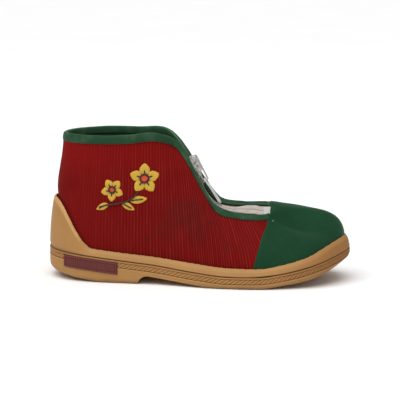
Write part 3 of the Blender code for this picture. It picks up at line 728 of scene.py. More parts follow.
@dataclass(frozen=True)
class Corduroy(Finish):
    """Cotton corduroy: U counts ribs, V is the height in millimetres."""

    # Darker red for the painted shade in the rib valleys; also used for the random nap and clouds.
    valley: Color = srgb(82, 8, 8)
    rubbed: Color = srgb(150, 46, 42)
    soil: Color = srgb(66, 25, 20)
    upper_red: Color = srgb(140, 18, 14)
    plain_x: float = -0.078
    ribbed_x: float = -0.032
    stains: tuple[Stain, ...] = ()
    shift_x: float = 0.0
    wall_y: float = -25.0
    stain_depth: float = 9.0
    tuft_stretch: Triple = (3.0, 2.2, 1.0)
    streak_stretch: Triple = (0.9, 0.035, 1.0)
    weave_grain: Grain = Grain(1.0, 2.0)
    cloud_grain: Grain = Grain(55.0, 3.0)
    soil_grain: Grain = Grain(160.0, 4.0)
    rib_spread: Spread = Spread(0.25, 0.75)
    soil_spread: Spread = Spread(0.3, 0.9)
    valley_shade_show: Show = Show(0.4, 1.0, 0.55)
    crest_half: float = 0.5
    streak_show: Show = Show(0.35, 0.7, 0.5)
    tuft_show: Show = Show(0.45, 0.75, 0.12)
    cloud_show: Show = Show(0.5, 0.8, 0.22)
    upper_red_show: Show = Show(0.06, 0.085, 0.3)
    tuft_height: float = 0.6
    soil_height: float = 0.4
    rough: Spread = Spread(0.8, 0.18)
    relief: Relief = Relief(0.3, 0.00015)

    def paint(self, shader: Shader) -> Material:
        """Painted shade in rib valleys and rubbed crests, fainter toward the heel, nap, soiled patches,
        lighter red up top.
        """
        place = shader.place()
        toward_toe, _, upward = shader.split(place)
        weave = shader.weave()
        rib = shader.split(weave)[0]
        hollow = abs(rib.fraction() * 2.0 - 1.0)
        ribbed = toward_toe.ease(self.plain_x, self.ribbed_x).spread(self.rib_spread)
        tufts = shader.noise(shader.stretched(weave, self.tuft_stretch), self.weave_grain)
        streak = shader.noise(shader.stretched(weave, self.streak_stretch), self.weave_grain)
        cloud = shader.noise(place, self.cloud_grain)
        # Painted shade in the rib valleys, fainter toward the heel.
        color = shader.mix(hollow.show(self.valley_shade_show) * ribbed, self.color, self.valley)
        crest = 1.0 - hollow.ease(0.0, self.crest_half)
        color = shader.mix(crest * streak.show(self.streak_show) * ribbed, color, self.rubbed)
        color = shader.mix(tufts.show(self.tuft_show), color, self.valley)
        soiled = shader.noise(place, self.soil_grain)
        for stain in self.stains:
            center = ((stain.x + self.shift_x) * MM, self.wall_y * MM, stain.z * MM)
            reach = (stain.wide * MM, max(stain.wide, self.stain_depth) * MM, stain.tall * MM)
            blot = shader.spot(place, center, reach)
            color = shader.mix(blot * soiled.spread(self.soil_spread) * stain.strength, color, self.soil)
        color = shader.mix(cloud.show(self.cloud_show), color, self.valley)
        # Lighter red mixed in toward the top of the wall.
        color = shader.mix(upward.show(self.upper_red_show), color, self.upper_red)
        grain = tufts * self.tuft_height + soiled * self.soil_height
        return shader.finish(
            color, tufts.spread(self.rough), shader.bump(grain, self.relief),
            {"Sheen Weight": 0.03, "Sheen Roughness": 0.45, "Sheen Tint": (0.9, 0.35, 0.3, 1.0),
             "Specular IOR Level": 0.08},
        )


@dataclass(frozen=True)
class Felt(Finish):
    """Brushed cloth: fibres too fine to see one by one, with soft clouds of nap."""

    light: Color = srgb(60, 110, 76)
    fleck: Triple | None = None
    fleck_color: Color = srgb(112, 138, 112)
    fleck_size: float = 0.0006
    sheen: float = 0.22
    fibre_stretch: Triple = (1.0, 1.0, 2.6)
    fluff_stretch: Triple = (1.0, 1.0, 0.35)
    cloud_grain: Grain = Grain(45.0, 3.0)
    nap_grain: Grain = Grain(420.0, 3.0)
    fibre_grain: Grain = Grain(1500.0, 2.0)
    fluff_grain: Grain = Grain(900.0, 1.0)
    cloud_show: Show = Show(0.35, 0.75, 0.3)
    nap_show: Show = Show(0.5, 0.8, 0.22)
    fluff_show: Show = Show(0.72, 0.8, 0.35)
    nap_height: float = 0.7
    fibre_height: float = 0.5
    rough: Spread = Spread(0.78, 0.2)
    relief: Relief = Relief(0.3, 0.00025)

    def paint(self, shader: Shader) -> Material:
        """Clouds of nap, crossing fibres and a little fluff."""
        place = shader.place()
        cloud = shader.noise(place, self.cloud_grain)
        nap = shader.noise(place, self.nap_grain)
        fibre = shader.noise(shader.stretched(place, self.fibre_stretch), self.fibre_grain)
        color = shader.mix(cloud.show(self.cloud_show) + nap.show(self.nap_show), self.color, self.light)
        fluff = shader.noise(shader.stretched(place, self.fluff_stretch), self.fluff_grain)
        color = shader.mix(fluff.show(self.fluff_show), color, self.light)
        if self.fleck:
            mark = shader.spot(place, self.fleck, (self.fleck_size,) * 3)
            color = shader.mix(mark, color, self.fleck_color)
        grain = nap * self.nap_height + fibre * self.fibre_height
        return shader.finish(
            color, nap.spread(self.rough), shader.bump(grain, self.relief),
            {"Sheen Weight": self.sheen, "Sheen Roughness": 0.4, "Sheen Tint": (0.6, 0.9, 0.7, 1.0),
             "Specular IOR Level": 0.1},
        )


@dataclass(frozen=True)
class Edging(Finish):
    """Jersey edging: U runs along it in millimetres, V round its section from 0 at the seam to 1 inside."""

    # Paler colour of the fold's top: rubbed wear with a painted highlight.
    ridge: Color = srgb(95, 125, 95)
    ridge_at: float = 0.42
    ridge_width: float = 0.07
    knit_along: float = 7.5
    knit_round: float = 190.0
    cloud_grain: Grain = Grain(120.0, 3.0)
    fuzz_grain: Grain = Grain(1300.0, 2.0)
    cloud_show: Show = Show(0.4, 0.8, 0.25)
    ridge_wear_and_light_spread: Spread = Spread(0.25, 0.7)
    knit_height: float = 0.175
    fuzz_height: float = 0.8
    rough: Spread = Spread(0.76, 0.2)
    relief: Relief = Relief(0.3, 0.0002)

    def paint(self, shader: Shader) -> Material:
        """Fine knit with a paler ridge along the top of the fold: rubbed wear with a painted highlight."""
        place = shader.place()
        along, section, _ = shader.split(shader.weave())
        cloud = shader.noise(place, self.cloud_grain)
        fuzz = shader.noise(place, self.fuzz_grain)
        # Paler ridge on top of the fold: rubbed wear with a painted highlight.
        rubbed = 1.0 - abs(section - self.ridge_at).ease(0.0, self.ridge_width)
        color = shader.mix(cloud.show(self.cloud_show), self.color, self.ridge)
        color = shader.mix(rubbed * fuzz.spread(self.ridge_wear_and_light_spread), color, self.ridge)
        knit = (along * self.knit_along).sine() + (section * self.knit_round).sine()
        grain = knit * self.knit_height + fuzz * self.fuzz_height
        return shader.finish(
            color, fuzz.spread(self.rough), shader.bump(grain, self.relief),
            {"Sheen Weight": 0.12, "Sheen Roughness": 0.4, "Sheen Tint": (0.7, 0.95, 0.75, 1.0),
             "Specular IOR Level": 0.1},
        )


@dataclass(frozen=True)
class GumRubber(Finish):
    """Moulded gum rubber: U is 1 in a hollow of the moulding, which gets painted shade, and -1 on a bevel or
    bead, which gets a painted highlight; V is 1 in a groove.
    """

    deep: Color = srgb(150, 106, 57)
    # Paler colour for the painted highlight on up-facing bevels and the bead.
    pale: Color = srgb(206, 164, 106)
    # Darker colour for the painted shade in the hollows of the moulding.
    hollow: Color = srgb(124, 82, 41)
    groove: Color = srgb(116, 79, 41)
    toe: Color = srgb(141, 95, 46)
    dark_brown: Color = srgb(96, 72, 52)
    low_dark_height: float = 0.004
    toe_start_x: float = 0.045
    toe_end_x: float = 0.09
    cloud_grain: Grain = Grain(38.0, 4.0)
    mottle_grain: Grain = Grain(260.0, 4.0)
    fine_grain: Grain = Grain(1700.0, 2.0)
    speck_grain: Grain = Grain(520.0, 1.0)
    toe_spread: Spread = Spread(0.5, 0.6)
    low_dark_spread: Spread = Spread(0.1, 0.7)
    cloud_show: Show = Show(0.4, 0.75, 0.45)
    mottle_show: Show = Show(0.5, 0.8, 0.15)
    bevel_highlight_show: Show = Show(0.0, 1.0, 0.55)
    hollow_shade_show: Show = Show(0.25, 1.0, 0.42)
    groove_show: Show = Show(0.1, 0.9, 0.85)
    speck_show: Show = Show(0.74, 0.79, 0.3)
    fine_height: float = 0.5
    mottle_height: float = 0.6
    rough: Spread = Spread(0.5, 0.2)
    low_rough: float = 0.15
    relief: Relief = Relief(0.2, 0.0002)

    def paint(self, shader: Shader) -> Material:
        """Cloudy colour, browner at the toe, painted shade in hollows, painted highlights on bevels, darker
        low down, dark specks and a fine grain.
        """
        place = shader.place()
        toward_toe, _, height = shader.split(place)
        hollow, groove, _ = shader.split(shader.weave())
        cloud = shader.noise(place, self.cloud_grain)
        mottle = shader.noise(place, self.mottle_grain)
        fine = shader.noise(place, self.fine_grain)
        browned = toward_toe.ease(self.toe_start_x, self.toe_end_x)
        color = shader.mix(browned * cloud.spread(self.toe_spread), self.color, self.toe)
        color = shader.mix(cloud.show(self.cloud_show) + mottle.show(self.mottle_show), color, self.deep)
        # Painted highlight on up-facing bevels and the bead, then painted shade in the hollows.
        color = shader.mix((hollow * -1.0).show(self.bevel_highlight_show), color, self.pale)
        color = shader.mix(hollow.show(self.hollow_shade_show), color, self.hollow)
        color = shader.mix(groove.show(self.groove_show), color, self.groove)
        # Darker and rougher toward the bottom of the rubber; the same dark brown also makes the specks.
        low = 1.0 - height.ease(0.0, self.low_dark_height)
        color = shader.mix(low * mottle.spread(self.low_dark_spread), color, self.dark_brown)
        specks = shader.noise(place, self.speck_grain)
        color = shader.mix(specks.show(self.speck_show), color, self.dark_brown)
        grain = fine * self.fine_height + mottle * self.mottle_height
        return shader.finish(
            color, mottle.spread(self.rough) + low * self.low_rough, shader.bump(grain, self.relief),
            {"Specular IOR Level": 0.35},
        )


@dataclass(frozen=True)
class Plate(Finish):
    """Small rubber plate: V holds how far a spot stands up, from 0 to 1."""

    worn: Color = srgb(140, 84, 84)
    rub_grain: Grain = Grain(420.0, 3.0)
    raised_show: Show = Show(0.45, 0.95, 1.0)
    rub_spread: Spread = Spread(0.1, 0.8)
    rough: Spread = Spread(0.5, 0.25)
    relief: Relief = Relief(0.15, 0.0002)

    def paint(self, shader: Shader) -> Material:
        """Raised parts rubbed paler than the ground."""
        raised = shader.split(shader.weave())[1]
        rub = shader.noise(shader.place(), self.rub_grain)
        color = shader.mix(raised.show(self.raised_show) * rub.spread(self.rub_spread), self.color, self.worn)
        return shader.finish(
            color, rub.spread(self.rough), shader.bump(rub, self.relief),
            {"Specular IOR Level": 0.4},
        )


@dataclass(frozen=True)
class Thread(Finish):
    """Satin stitch: U counts threads laid side by side, V runs along them."""

    shade: float = 0.5
    uneven_grain: Grain = Grain(700.0, 2.0)
    gap_shade_show: Show = Show(0.5, 1.0, 0.7)
    uneven_show: Show = Show(0.5, 0.8, 0.25)
    uneven_height: float = 0.4
    rough: Spread = Spread(0.42, 0.3)
    relief: Relief = Relief(0.4, 0.0001)

    def paint(self, shader: Shader) -> Material:
        """Rounded threads with painted shade in the gaps, uneven tone and a soft gloss."""
        count = shader.split(shader.weave())[0]
        hollow = abs(count.fraction() * 2.0 - 1.0)
        uneven = shader.noise(shader.place(), self.uneven_grain)
        dark = tuple(channel * self.shade for channel in self.color)
        # Painted shade in the gaps between threads, plus uneven tone.
        color = shader.mix(hollow.show(self.gap_shade_show) + uneven.show(self.uneven_show), self.color, dark)
        grain = 1.0 - hollow * hollow + uneven * self.uneven_height
        return shader.finish(
            color, uneven.spread(self.rough), shader.bump(grain, self.relief),
            {"Sheen Weight": 0.15, "Sheen Roughness": 0.4},
        )


@dataclass(frozen=True)
class Tape(Finish):
    """Woven tape or cord: U runs along it and V across it, in millimetres."""

    dirt: Color = srgb(150, 135, 118)
    pitch: float = 0.55
    smudge_grain: Grain = Grain(160.0, 4.0)
    smudge_show: Show = Show(0.45, 0.85, 0.55)
    thread_show: Show = Show(0.2, 1.0, 0.1)
    thread_height: float = 0.5
    smudge_height: float = 0.3
    rough: Spread = Spread(0.65, 0.25)
    relief: Relief = Relief(0.3, 0.00012)

    def paint(self, shader: Shader) -> Material:
        """Crossing threads, slightly yellowed."""
        along, across, _ = shader.split(shader.weave())
        turn = FULL_TURN / self.pitch
        threads = (along * turn).sine() * (across * turn).sine()
        smudge = shader.noise(shader.place(), self.smudge_grain)
        soiled = smudge.show(self.smudge_show) + threads.show(self.thread_show)
        color = shader.mix(soiled, self.color, self.dirt)
        grain = threads * self.thread_height + smudge * self.smudge_height
        return shader.finish(
            color, smudge.spread(self.rough), shader.bump(grain, self.relief),
            {"Sheen Weight": 0.15, "Sheen Roughness": 0.5, "Specular IOR Level": 0.35},
        )


@dataclass(frozen=True)
class Plated(Finish):
    """Plated or enamelled metal, dulled and lightly scratched."""

    metallic: float = 1.0
    roughness: float = 0.2
    tarnish_and_shade: Color = srgb(90, 88, 84)
    tarnish_and_shade_share: float = 0.5
    dull_from: float = 0.5
    dull_to: float = 0.8
    dull_grain: Grain = Grain(520.0, 4.0)
    scratch_grain: Grain = Grain(2600.0, 2.0)
    scratch_stretch: Triple = (0.3, 2.0, 2.0)
    dull_rough: float = 0.2
    scratch_rough: float = 0.08
    relief: Relief = Relief(0.08, 0.0001)

    def paint(self, shader: Shader) -> Material:
        """Darker dull clouds and fine scratches on a bright coat; on the slider the clouds are tarnish with
        painted shade.
        """
        place = shader.place()
        dull = shader.noise(place, self.dull_grain)
        scratch = shader.noise(shader.stretched(place, self.scratch_stretch), self.scratch_grain)
        # Darker clouds: tarnish, and on the slider also painted shade.
        tarnish_and_shade_mask = dull.ease(self.dull_from, self.dull_to) * self.tarnish_and_shade_share
        color = shader.mix(tarnish_and_shade_mask, self.color, self.tarnish_and_shade)
        rough = self.roughness + dull * self.dull_rough + scratch * self.scratch_rough
        fixed = {"Metallic": self.metallic, "Specular IOR Level": 0.5}
        return shader.finish(color, rough, shader.bump(scratch, self.relief), fixed)


@dataclass(frozen=True)
class PaleFloor(Finish):
    """Plain pale paper floor."""

    shade: float = 0.97
    tooth_grain: Grain = Grain(9.0, 2.0)
    rough: Spread = Spread(0.8, 0.1)

    def paint(self, shader: Shader) -> Material:
        """Nearly even white with a hint of tooth."""
        tooth = shader.noise(shader.place(), self.tooth_grain)
        darker = tuple(channel * self.shade for channel in self.color)
        color = shader.mix(tooth, darker, self.color)
        return shader.finish(color, tooth.spread(self.rough), None, {})


def select_only(*pieces: Piece) -> None:
    """Select these objects alone, the first one active."""
    bpy.ops.object.select_all(action="DESELECT")
    for piece in pieces:
        piece.select_set(True)
    bpy.context.view_layer.objects.active = pieces[0]


def smooth(piece: Piece, angle: float) -> None:
    """Shade a piece smooth, apart from edges sharper than an angle in degrees."""
    select_only(piece)
    bpy.ops.object.shade_smooth_by_angle(angle=math.radians(angle))


def lay_grid(name: str, points: Array, pattern: Array | None = None, smooth_angle: float = 60.0) -> Piece:
    """Grid primitive laid on a table of points and merged where its edges meet.

    Args:
        name: Name of the piece.
        points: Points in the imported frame, shaped rows, columns, 3.
        pattern: Pattern coordinates, shaped rows, columns, 2.
        smooth_angle: Edges sharper than this stay sharp, in degrees.
    Returns:
        The closed piece.
    """
    rows, columns = points.shape[:2]
    bpy.ops.object.select_all(action="DESELECT")
    bpy.ops.mesh.primitive_grid_add(x_subdivisions=columns - 1, y_subdivisions=rows - 1)
    piece = bpy.context.object
    piece.name = name
    mesh = piece.data
    mesh.name = name
    mesh.vertices.foreach_set("co", np.ascontiguousarray(points, dtype=np.float32).ravel())
    if pattern is not None:
        corners = np.empty(len(mesh.loops), dtype=np.int32)
        mesh.loops.foreach_get("vertex_index", corners)
        coordinates = pattern.reshape(-1, 2)[corners].astype(np.float32)
        mesh.uv_layers.active.uv.foreach_set("vector", coordinates.ravel())
    close_mesh(piece)
    smooth(piece, smooth_angle)
    return piece


def close_mesh(piece: Piece) -> None:
    """Merge doubled points and turn the faces outward."""
    select_only(piece)
    bpy.ops.object.mode_set(mode="EDIT")
    bpy.ops.mesh.select_all(action="SELECT")
    bpy.ops.mesh.remove_doubles(threshold=MERGE_DISTANCE)
    bpy.ops.mesh.normals_make_consistent(inside=False)
    bpy.ops.object.mode_set(mode="OBJECT")


def pillow(outer: Array, inner: Array) -> Array:
    """Rows of a closed loop: up the outer skin, back down the inner one and home."""
    return np.concatenate([outer, inner[::-1], outer[:1]])


def capped(loop: Array) -> Array:
    """Table of points with its first and last columns closed to their middles."""
    ends = []
    for column in (loop[:, 0], loop[:, -1]):
        ends.append(np.broadcast_to(column.mean(axis=0), column.shape)[:, None])
    return np.concatenate([ends[0], loop, ends[1]], axis=1)


def pattern_of(first: Any, second: Any, shape: tuple[int, int]) -> Array:
    """Pattern coordinates from two values that fit a table of points."""
    return np.stack([np.broadcast_to(first, shape), np.broadcast_to(second, shape)], axis=-1)


def apply_modifier(piece: Piece, kind: str, settings: dict[str, Any]) -> None:
    """Add a modifier with its settings and apply it."""
    select_only(piece)
    modifier = piece.modifiers.new(kind.lower(), kind)
    for key, value in settings.items():
        setattr(modifier, key, value)
    bpy.ops.object.modifier_apply(modifier=modifier.name)


def subdivide(piece: Piece, levels: int = 1) -> None:
    """Round a piece with an applied subdivision surface."""
    apply_modifier(piece, "SUBSURF", {"levels": levels, "render_levels": levels})


def cut_away(piece: Piece, cutter: Piece) -> None:
    """Take a cutter's shape out of a piece and drop the cutter."""
    apply_modifier(piece, "BOOLEAN", {"operation": "DIFFERENCE", "object": cutter, "solver": "EXACT"})
    bpy.data.objects.remove(cutter, do_unlink=True)


def join(name: str, pieces: Sequence[Piece]) -> Piece:
    """Join pieces into one that takes the name."""
    select_only(*pieces)
    if len(pieces) > 1:
        bpy.ops.object.join()
    piece = bpy.context.object
    piece.name = name
    piece.data.name = name
    return piece


def add_block(size: Sequence[float], center: Sequence[float]) -> Piece:
    """Cube primitive at its size and place, with its scale in its mesh."""
    bpy.ops.object.select_all(action="DESELECT")
    bpy.ops.mesh.primitive_cube_add(size=1.0, location=center, scale=size)
    piece = bpy.context.object
    bpy.ops.object.transform_apply(location=True, rotation=True, scale=True)
    return piece


def faces_up(_: Vector, normal: Vector) -> bool:
    """Whether a face looks up."""
    return normal.z > FACING


def faces_toe(_: Vector, normal: Vector) -> bool:
    """Whether a face looks toward the toe."""
    return normal.x > FACING


@contextmanager
def picked_faces(piece: Piece, test: Callable[[Vector, Vector], bool]) -> Iterator[None]:
    """Edit mode with only the faces selected whose middle and normal pass a test."""
    select_only(piece)
    bpy.ops.object.mode_set(mode="EDIT")
    bpy.ops.mesh.select_mode(type="FACE")
    bpy.ops.mesh.select_all(action="DESELECT")
    bpy.ops.object.mode_set(mode="OBJECT")
    for polygon in piece.data.polygons:
        polygon.select = test(polygon.center, polygon.normal)
    bpy.ops.object.mode_set(mode="EDIT")
    yield
    bpy.ops.object.mode_set(mode="OBJECT")


def soften_edges(piece: Piece, width: float, segments: int = 3) -> None:
    """Round the sharp edges of a hard piece."""
    settings = {"width": width, "segments": segments, "limit_method": "ANGLE", "angle_limit": SHARP_EDGE}
    apply_modifier(piece, "BEVEL", settings)
    smooth(piece, HARD_SMOOTH_ANGLE)


def soft_block(size: Sequence[float], center: Sequence[float], rounding: float) -> Piece:
    """Block with rounded edges."""
    piece = add_block(size, center)
    soften_edges(piece, rounding)
    return piece


def seat(piece: Piece, finish: Finish, nodes: Sequence[str] = (), body: Body = Body.SHOE) -> Piece:
    """Dress a piece, ride it on its body and hide the solids that it replaces.

    Args:
        piece: The finished piece.
        finish: Its finish.
        nodes: Solids that it replaces.
        body: Body that it rides on.
    Returns:
        The same piece.
    """
    piece.data.materials.clear()
    piece.data.materials.append(finish.material())
    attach(piece, body.value)
    if nodes:
        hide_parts(*nodes)
    LOG.info("%s: %d faces on %s", piece.name, len(piece.data.polygons), body.value)
    return piece


RUBBER = GumRubber("gum_rubber", "rubber", srgb(167, 122, 68))
LABEL = Plate("label_plate", "label", srgb(86, 22, 20), srgb(124, 68, 60))
FELT = Felt(
    "toe_felt", "felt", srgb(20, 56, 34), srgb(33, 76, 49), (0.0491, -0.0116, 0.0396), fleck_size=0.0007,
    sheen=0.3,
)
LINING = Felt("brushed_lining", "lining", srgb(28, 58, 40), srgb(40, 74, 52), sheen=0.08)
FOOTBED = Felt("footbed_cloth", "footbed", srgb(46, 66, 48), srgb(72, 92, 70), sheen=0.1)
BINDING = Edging("binding_jersey", "binding", srgb(34, 66, 44))
# The zip tape and coil colours are darkened as painted shade, for the zip lying in shade down the throat.
ZIP_CLOTH = Tape("zip_cloth", "zip_tape", srgb(188, 179, 172))
ZIP_COIL = Tape("zip_coil", "zip_nylon", srgb(176, 167, 160), pitch=0.7)
STOP_NYLON = Plated("stop_nylon", "zip_nylon", srgb(179, 178, 171), 0.0, 0.4, srgb(168, 161, 153))
# The slider's near-black clouds over most of it are tarnish with painted shade.
SLIDER_METAL = Plated(
    "slider_plating", "slider_metal", srgb(205, 202, 198), 0.75, 0.33, srgb(62, 59, 58), 0.95
)
PULL_ENAMEL = Plated("pull_enamel", "pull_enamel", srgb(236, 229, 221), 0.0, 0.3, srgb(180, 176, 170))
PETAL_THREAD = Thread("petal_thread", "embroidery", srgb(206, 164, 42))
HEART_THREAD = Thread("heart_thread", "embroidery", srgb(220, 72, 34))
LINE_THREAD = Thread("line_thread", "embroidery", srgb(28, 22, 24))


class EdgeStep(NamedTuple):
    """Step of the sole's edge: how far down and in it lies, how much painted shade it takes as a hollow (a
    painted highlight where negative), and how dark a groove it is.
    """

    down: float
    inset: float
    hollow: float
    groove: float


SOLE_SHOULDER = [
    EdgeStep(0.0, 3.2, 0.0, 1.0),
    EdgeStep(0.0, 0.75, 0.0, 1.0),
    EdgeStep(0.08, 0.42, 0.0, 1.0),
    EdgeStep(0.26, 0.14, 0.0, 0.7),
    EdgeStep(0.5, 0.0, 0.0, 0.0),
    EdgeStep(0.95, 0.0, 0.0, 0.0),
    EdgeStep(1.1, 0.12, 0.3, 0.0),
]
# Painted shade in the groove above the bead and, where the hollow is negative, a painted highlight on the
# bead.
SOLE_BEAD = [
    EdgeStep(4.62, 0.3, 0.8, 0.0),
    EdgeStep(4.74, -0.04, -0.3, 0.0),
    EdgeStep(4.95, -0.12, -0.6, 0.0),
    EdgeStep(5.2, -0.04, -0.2, 0.0),
]


@dataclass
class Sole:
    """Moulded outsole with its rope band, the foxing above it and the plate on the heel."""

    last: Last
    smooth_angle: float = 50.0
    column_spacing: float = 0.42
    edge: float = 2.4
    heel_edge: float = 3.2
    heel_edge_run: float = 22.0
    toe_edge: float = 2.6
    toe_edge_start_x: float = 160.0
    toe_edge_end_x: float = 192.0
    edge_rows: int = 10
    middle_shares: Triple = (0.34, 0.67, 1.0)
    band_top: float = 1.2
    band_foot: float = 4.5
    band_rows: int = 13
    band_power: int = 4
    rope_pitch: float = 3.1
    rope_slant: float = 1.5
    rope_depth: float = 0.85
    rope_round: float = 2.4
    breast_x: float = 62.5
    arch_top: float = 5.4
    arch_cove: float = 6.5
    arch_end_x: float = 112.0
    cove_steps: int = 16
    cutter_floor: float = -4.0
    cutter_half_width: float = 60.0
    foxing_spacing: float = 0.45
    foxing_foot: float = 3.6
    foxing_lip: float = 1.4
    foxing_rows: int = 22
    foxing_gather: float = 1.6
    foxing_smooth: float = 40.0
    foot_round: float = 0.6
    lip_round: float = 0.45
    lip_band: float = 3.2
    lip_band_share: float = 0.5
    lip_fall: float = 0.75
    heel_lip_gain: float = 0.45
    heel_lip_back_x: float = 4.0
    heel_lip_front_x: float = 12.0
    counter_low: float = 8.0
    counter_high: float = 15.0
    # Reach and least share of the painted highlight on the lip's bevel.
    highlight_run: float = 0.35
    highlight_least: float = 0.25
    groove_low: float = 0.15
    groove_high: float = 0.5
    lip_ripple: Ripple = Ripple(0.14, 5.1, 0.4)
    short_fibres: Ripple = Ripple(1.0, 1.7, 0.7)
    long_fibres: Ripple = Ripple(1.0, 2.9, 1.9)
    fibre_level: float = 0.55
    fibre_length: float = 0.28
    label_back_x: float = 14.0
    label_front_x: float = 49.5
    label_drop: float = 1.0
    label_height: float = 8.0
    label_thick: float = 0.6
    label_round: float = 0.3
    label_back: float = -0.2
    label_gap_share: float = 0.4
    label_spacing: float = 0.5
    label_columns: int = 260
    label_rows: int = 34
    relief: float = 0.28
    bar_start: float = 0.45
    bar_end: float = 1.0
    field_start: float = 1.75
    relief_slope: float = 0.2
    reed_pitch: float = 1.25
    reed_round: float = 2.0
    reed_height: float = 0.85

    def build(self) -> None:
        """Make and dress the three rubber pieces."""
        seat(self.outsole(), RUBBER, ["outsole"])
        seat(self.foxing(), RUBBER, ["foxing"])
        seat(self.label(), LABEL, ["heel_label"])

    def _edge_radius(self, x: Array) -> Array:
        """Radius of the sole's lower edge at the given X."""
        heel = self.heel_edge * (1.0 - smoothstep(0.0, self.heel_edge_run, x))
        return self.edge + heel + self.toe_edge * smoothstep(self.toe_edge_start_x, self.toe_edge_end_x, x)

    def outsole(self) -> Piece:
        """Sole with a rounded top edge, a rope-moulded band in a channel, a bead and a rounded lower edge.

        Returns:
            The sole with its arch cut out.
        """
        last = self.last
        around = last.paired_columns(self.column_spacing)
        edge = last.offset(around, 0.0, last.ledge)
        inward = -last.normal(around, 0.0)
        top = sole_height("top", edge[:, 0])
        tread = sole_height("tread", edge[:, 0])
        radius = self._edge_radius(edge[:, 0])
        run = run_along(edge)
        ropes = round(run[-1] / self.rope_pitch)
        rings: list[Array] = []
        marks: list[Array] = []

        def ring(height: Array, inset: Any, hollow: Any = 0.0, groove: float = 0.0) -> None:
            depth = np.asarray(inset) + round_off(height - tread, radius)
            points = edge + inward * np.broadcast_to(depth, top.shape)[:, None]
            points[:, 2] = height
            rings.append(points)
            marks.append(pattern_of(hollow, groove, top.shape))

        def steps(table: Sequence[EdgeStep]) -> None:
            for step in table:
                ring(top - step.down, step.inset, step.hollow, step.groove)

        steps(SOLE_SHOULDER)
        middle = (self.band_top + self.band_foot) / 2.0
        half = (self.band_foot - self.band_top) / 2.0
        for down in np.linspace(self.band_top, self.band_foot, self.band_rows):
            swell = math.sqrt(max(1.0 - ((down - middle) / half) ** self.band_power, 0.0))
            phase = run / run[-1] * ropes + self.rope_slant * (middle - down) / self.rope_pitch
            strand = ridge(phase, self.rope_round) * swell
            # Painted shade in the hollows between the rope's strands.
            ring(top - down, self.rope_depth * (1.0 - strand), 1.0 - strand)
        steps(SOLE_BEAD)
        foot = SOLE_BEAD[-1].down
        for turn in np.linspace(0.0, QUARTER_TURN, self.edge_rows)[1:]:
            ring(tread + (top - foot - tread) * (1.0 - math.sin(turn)), 0.0)

        def toward_middle(loop: Array) -> list[Array]:
            return [loop + ((loop + loop[::-1]) / 2.0 - loop) * share for share in self.middle_shares]

        rings = toward_middle(rings[0])[::-1] + rings + toward_middle(rings[-1])
        extra = len(self.middle_shares)
        marks = marks[:1] * extra + marks + marks[-1:] * extra
        piece = lay_grid("rubber_outsole", last.to_frame(np.stack(rings)), np.stack(marks), self.smooth_angle)
        cut_away(piece, self._arch_cutter())
        smooth(piece, self.smooth_angle)
        return piece

    def _arch_cutter(self) -> Piece:
        """Wide block under the waist with the heel breast's cove, extruded along the arch."""
        floor = self.cutter_floor
        roof = [(self.breast_x, floor / 2.0)]
        for turn in np.linspace(0.0, QUARTER_TURN, self.cove_steps):
            x = self.breast_x + self.arch_cove * (1.0 - math.cos(turn))
            roof.append((x, self.arch_top * math.sin(turn)))
        roof.append((self.arch_end_x, 0.0))
        rows = []
        for side in (-self.cutter_half_width, self.cutter_half_width):
            rows.append([(x, side, floor) for x, _ in roof])
            rows.append([(x, side, z) for x, z in roof])
        loop = np.array([rows[0], rows[1], rows[3], rows[2], rows[0]], dtype=float)
        points = self.last.to_frame(capped(loop))
        return lay_grid("arch_cutter", points, np.zeros((*points.shape[:2], 2)))

    def foxing(self) -> Piece:
        """Rand round the foot of the upper: bevelled, slightly ragged lip, heel counter and toe bumper."""
        last = self.last
        around = last.paired_columns(self.foxing_spacing)
        foot = last.wall_at(around, 0.0)
        fibre = self.short_fibres.at(around) + self.long_fibres.at(around)
        ragged = self.lip_ripple.at(around) + self.fibre_length * np.maximum(fibre - self.fibre_level, 0.0)
        ragged[-1] = ragged[0]
        top_height = last.foxing_top(around) + ragged
        top = last.level_at_height(around, top_height)
        tall = top_height - foot[:, 2]
        counter = smoothstep(self.counter_low, self.counter_high, tall)
        heel = 1.0 - smoothstep(self.heel_lip_back_x, self.heel_lip_front_x, foot[:, 0])
        fall = self.lip_fall - self.heel_lip_gain * heel
        shares = 1.0 - (1.0 - np.linspace(0.0, 1.0, self.foxing_rows)) ** self.foxing_gather
        band = np.minimum(self.lip_band, self.lip_band_share * tall)
        outer = []
        marks = []
        for share in shares:
            below = (1.0 - share) * tall
            bevel = 1.0 - np.clip(below / band, 0.0, 1.0)
            thick = self.foxing_foot + (self.foxing_lip - self.foxing_foot) * share
            thick = thick - fall * bevel - round_off(below, self.lip_round)
            thick = thick - round_off(share * tall, self.foot_round)
            outer.append(last.offset(around, top * share, last.gap + np.maximum(thick, 0.0)))
            # Painted highlight on the lip's up-facing bevel, strongest on the heel counter.
            pale = smoothstep(0.0, self.highlight_run, bevel) * (self.highlight_least + (1.0 - self.highlight_least) * counter)
            groove = 1.0 - smoothstep(self.groove_low, self.groove_high, share * tall)
            marks.append(pattern_of(-pale, groove, around.shape))
        inner = [last.offset(around, top * share, last.gap) for share in shares]
        points = last.to_frame(pillow(np.stack(outer), np.stack(inner)))
        marks = np.stack(marks)
        return lay_grid("rubber_foxing", points, pillow(marks, marks), self.foxing_smooth)

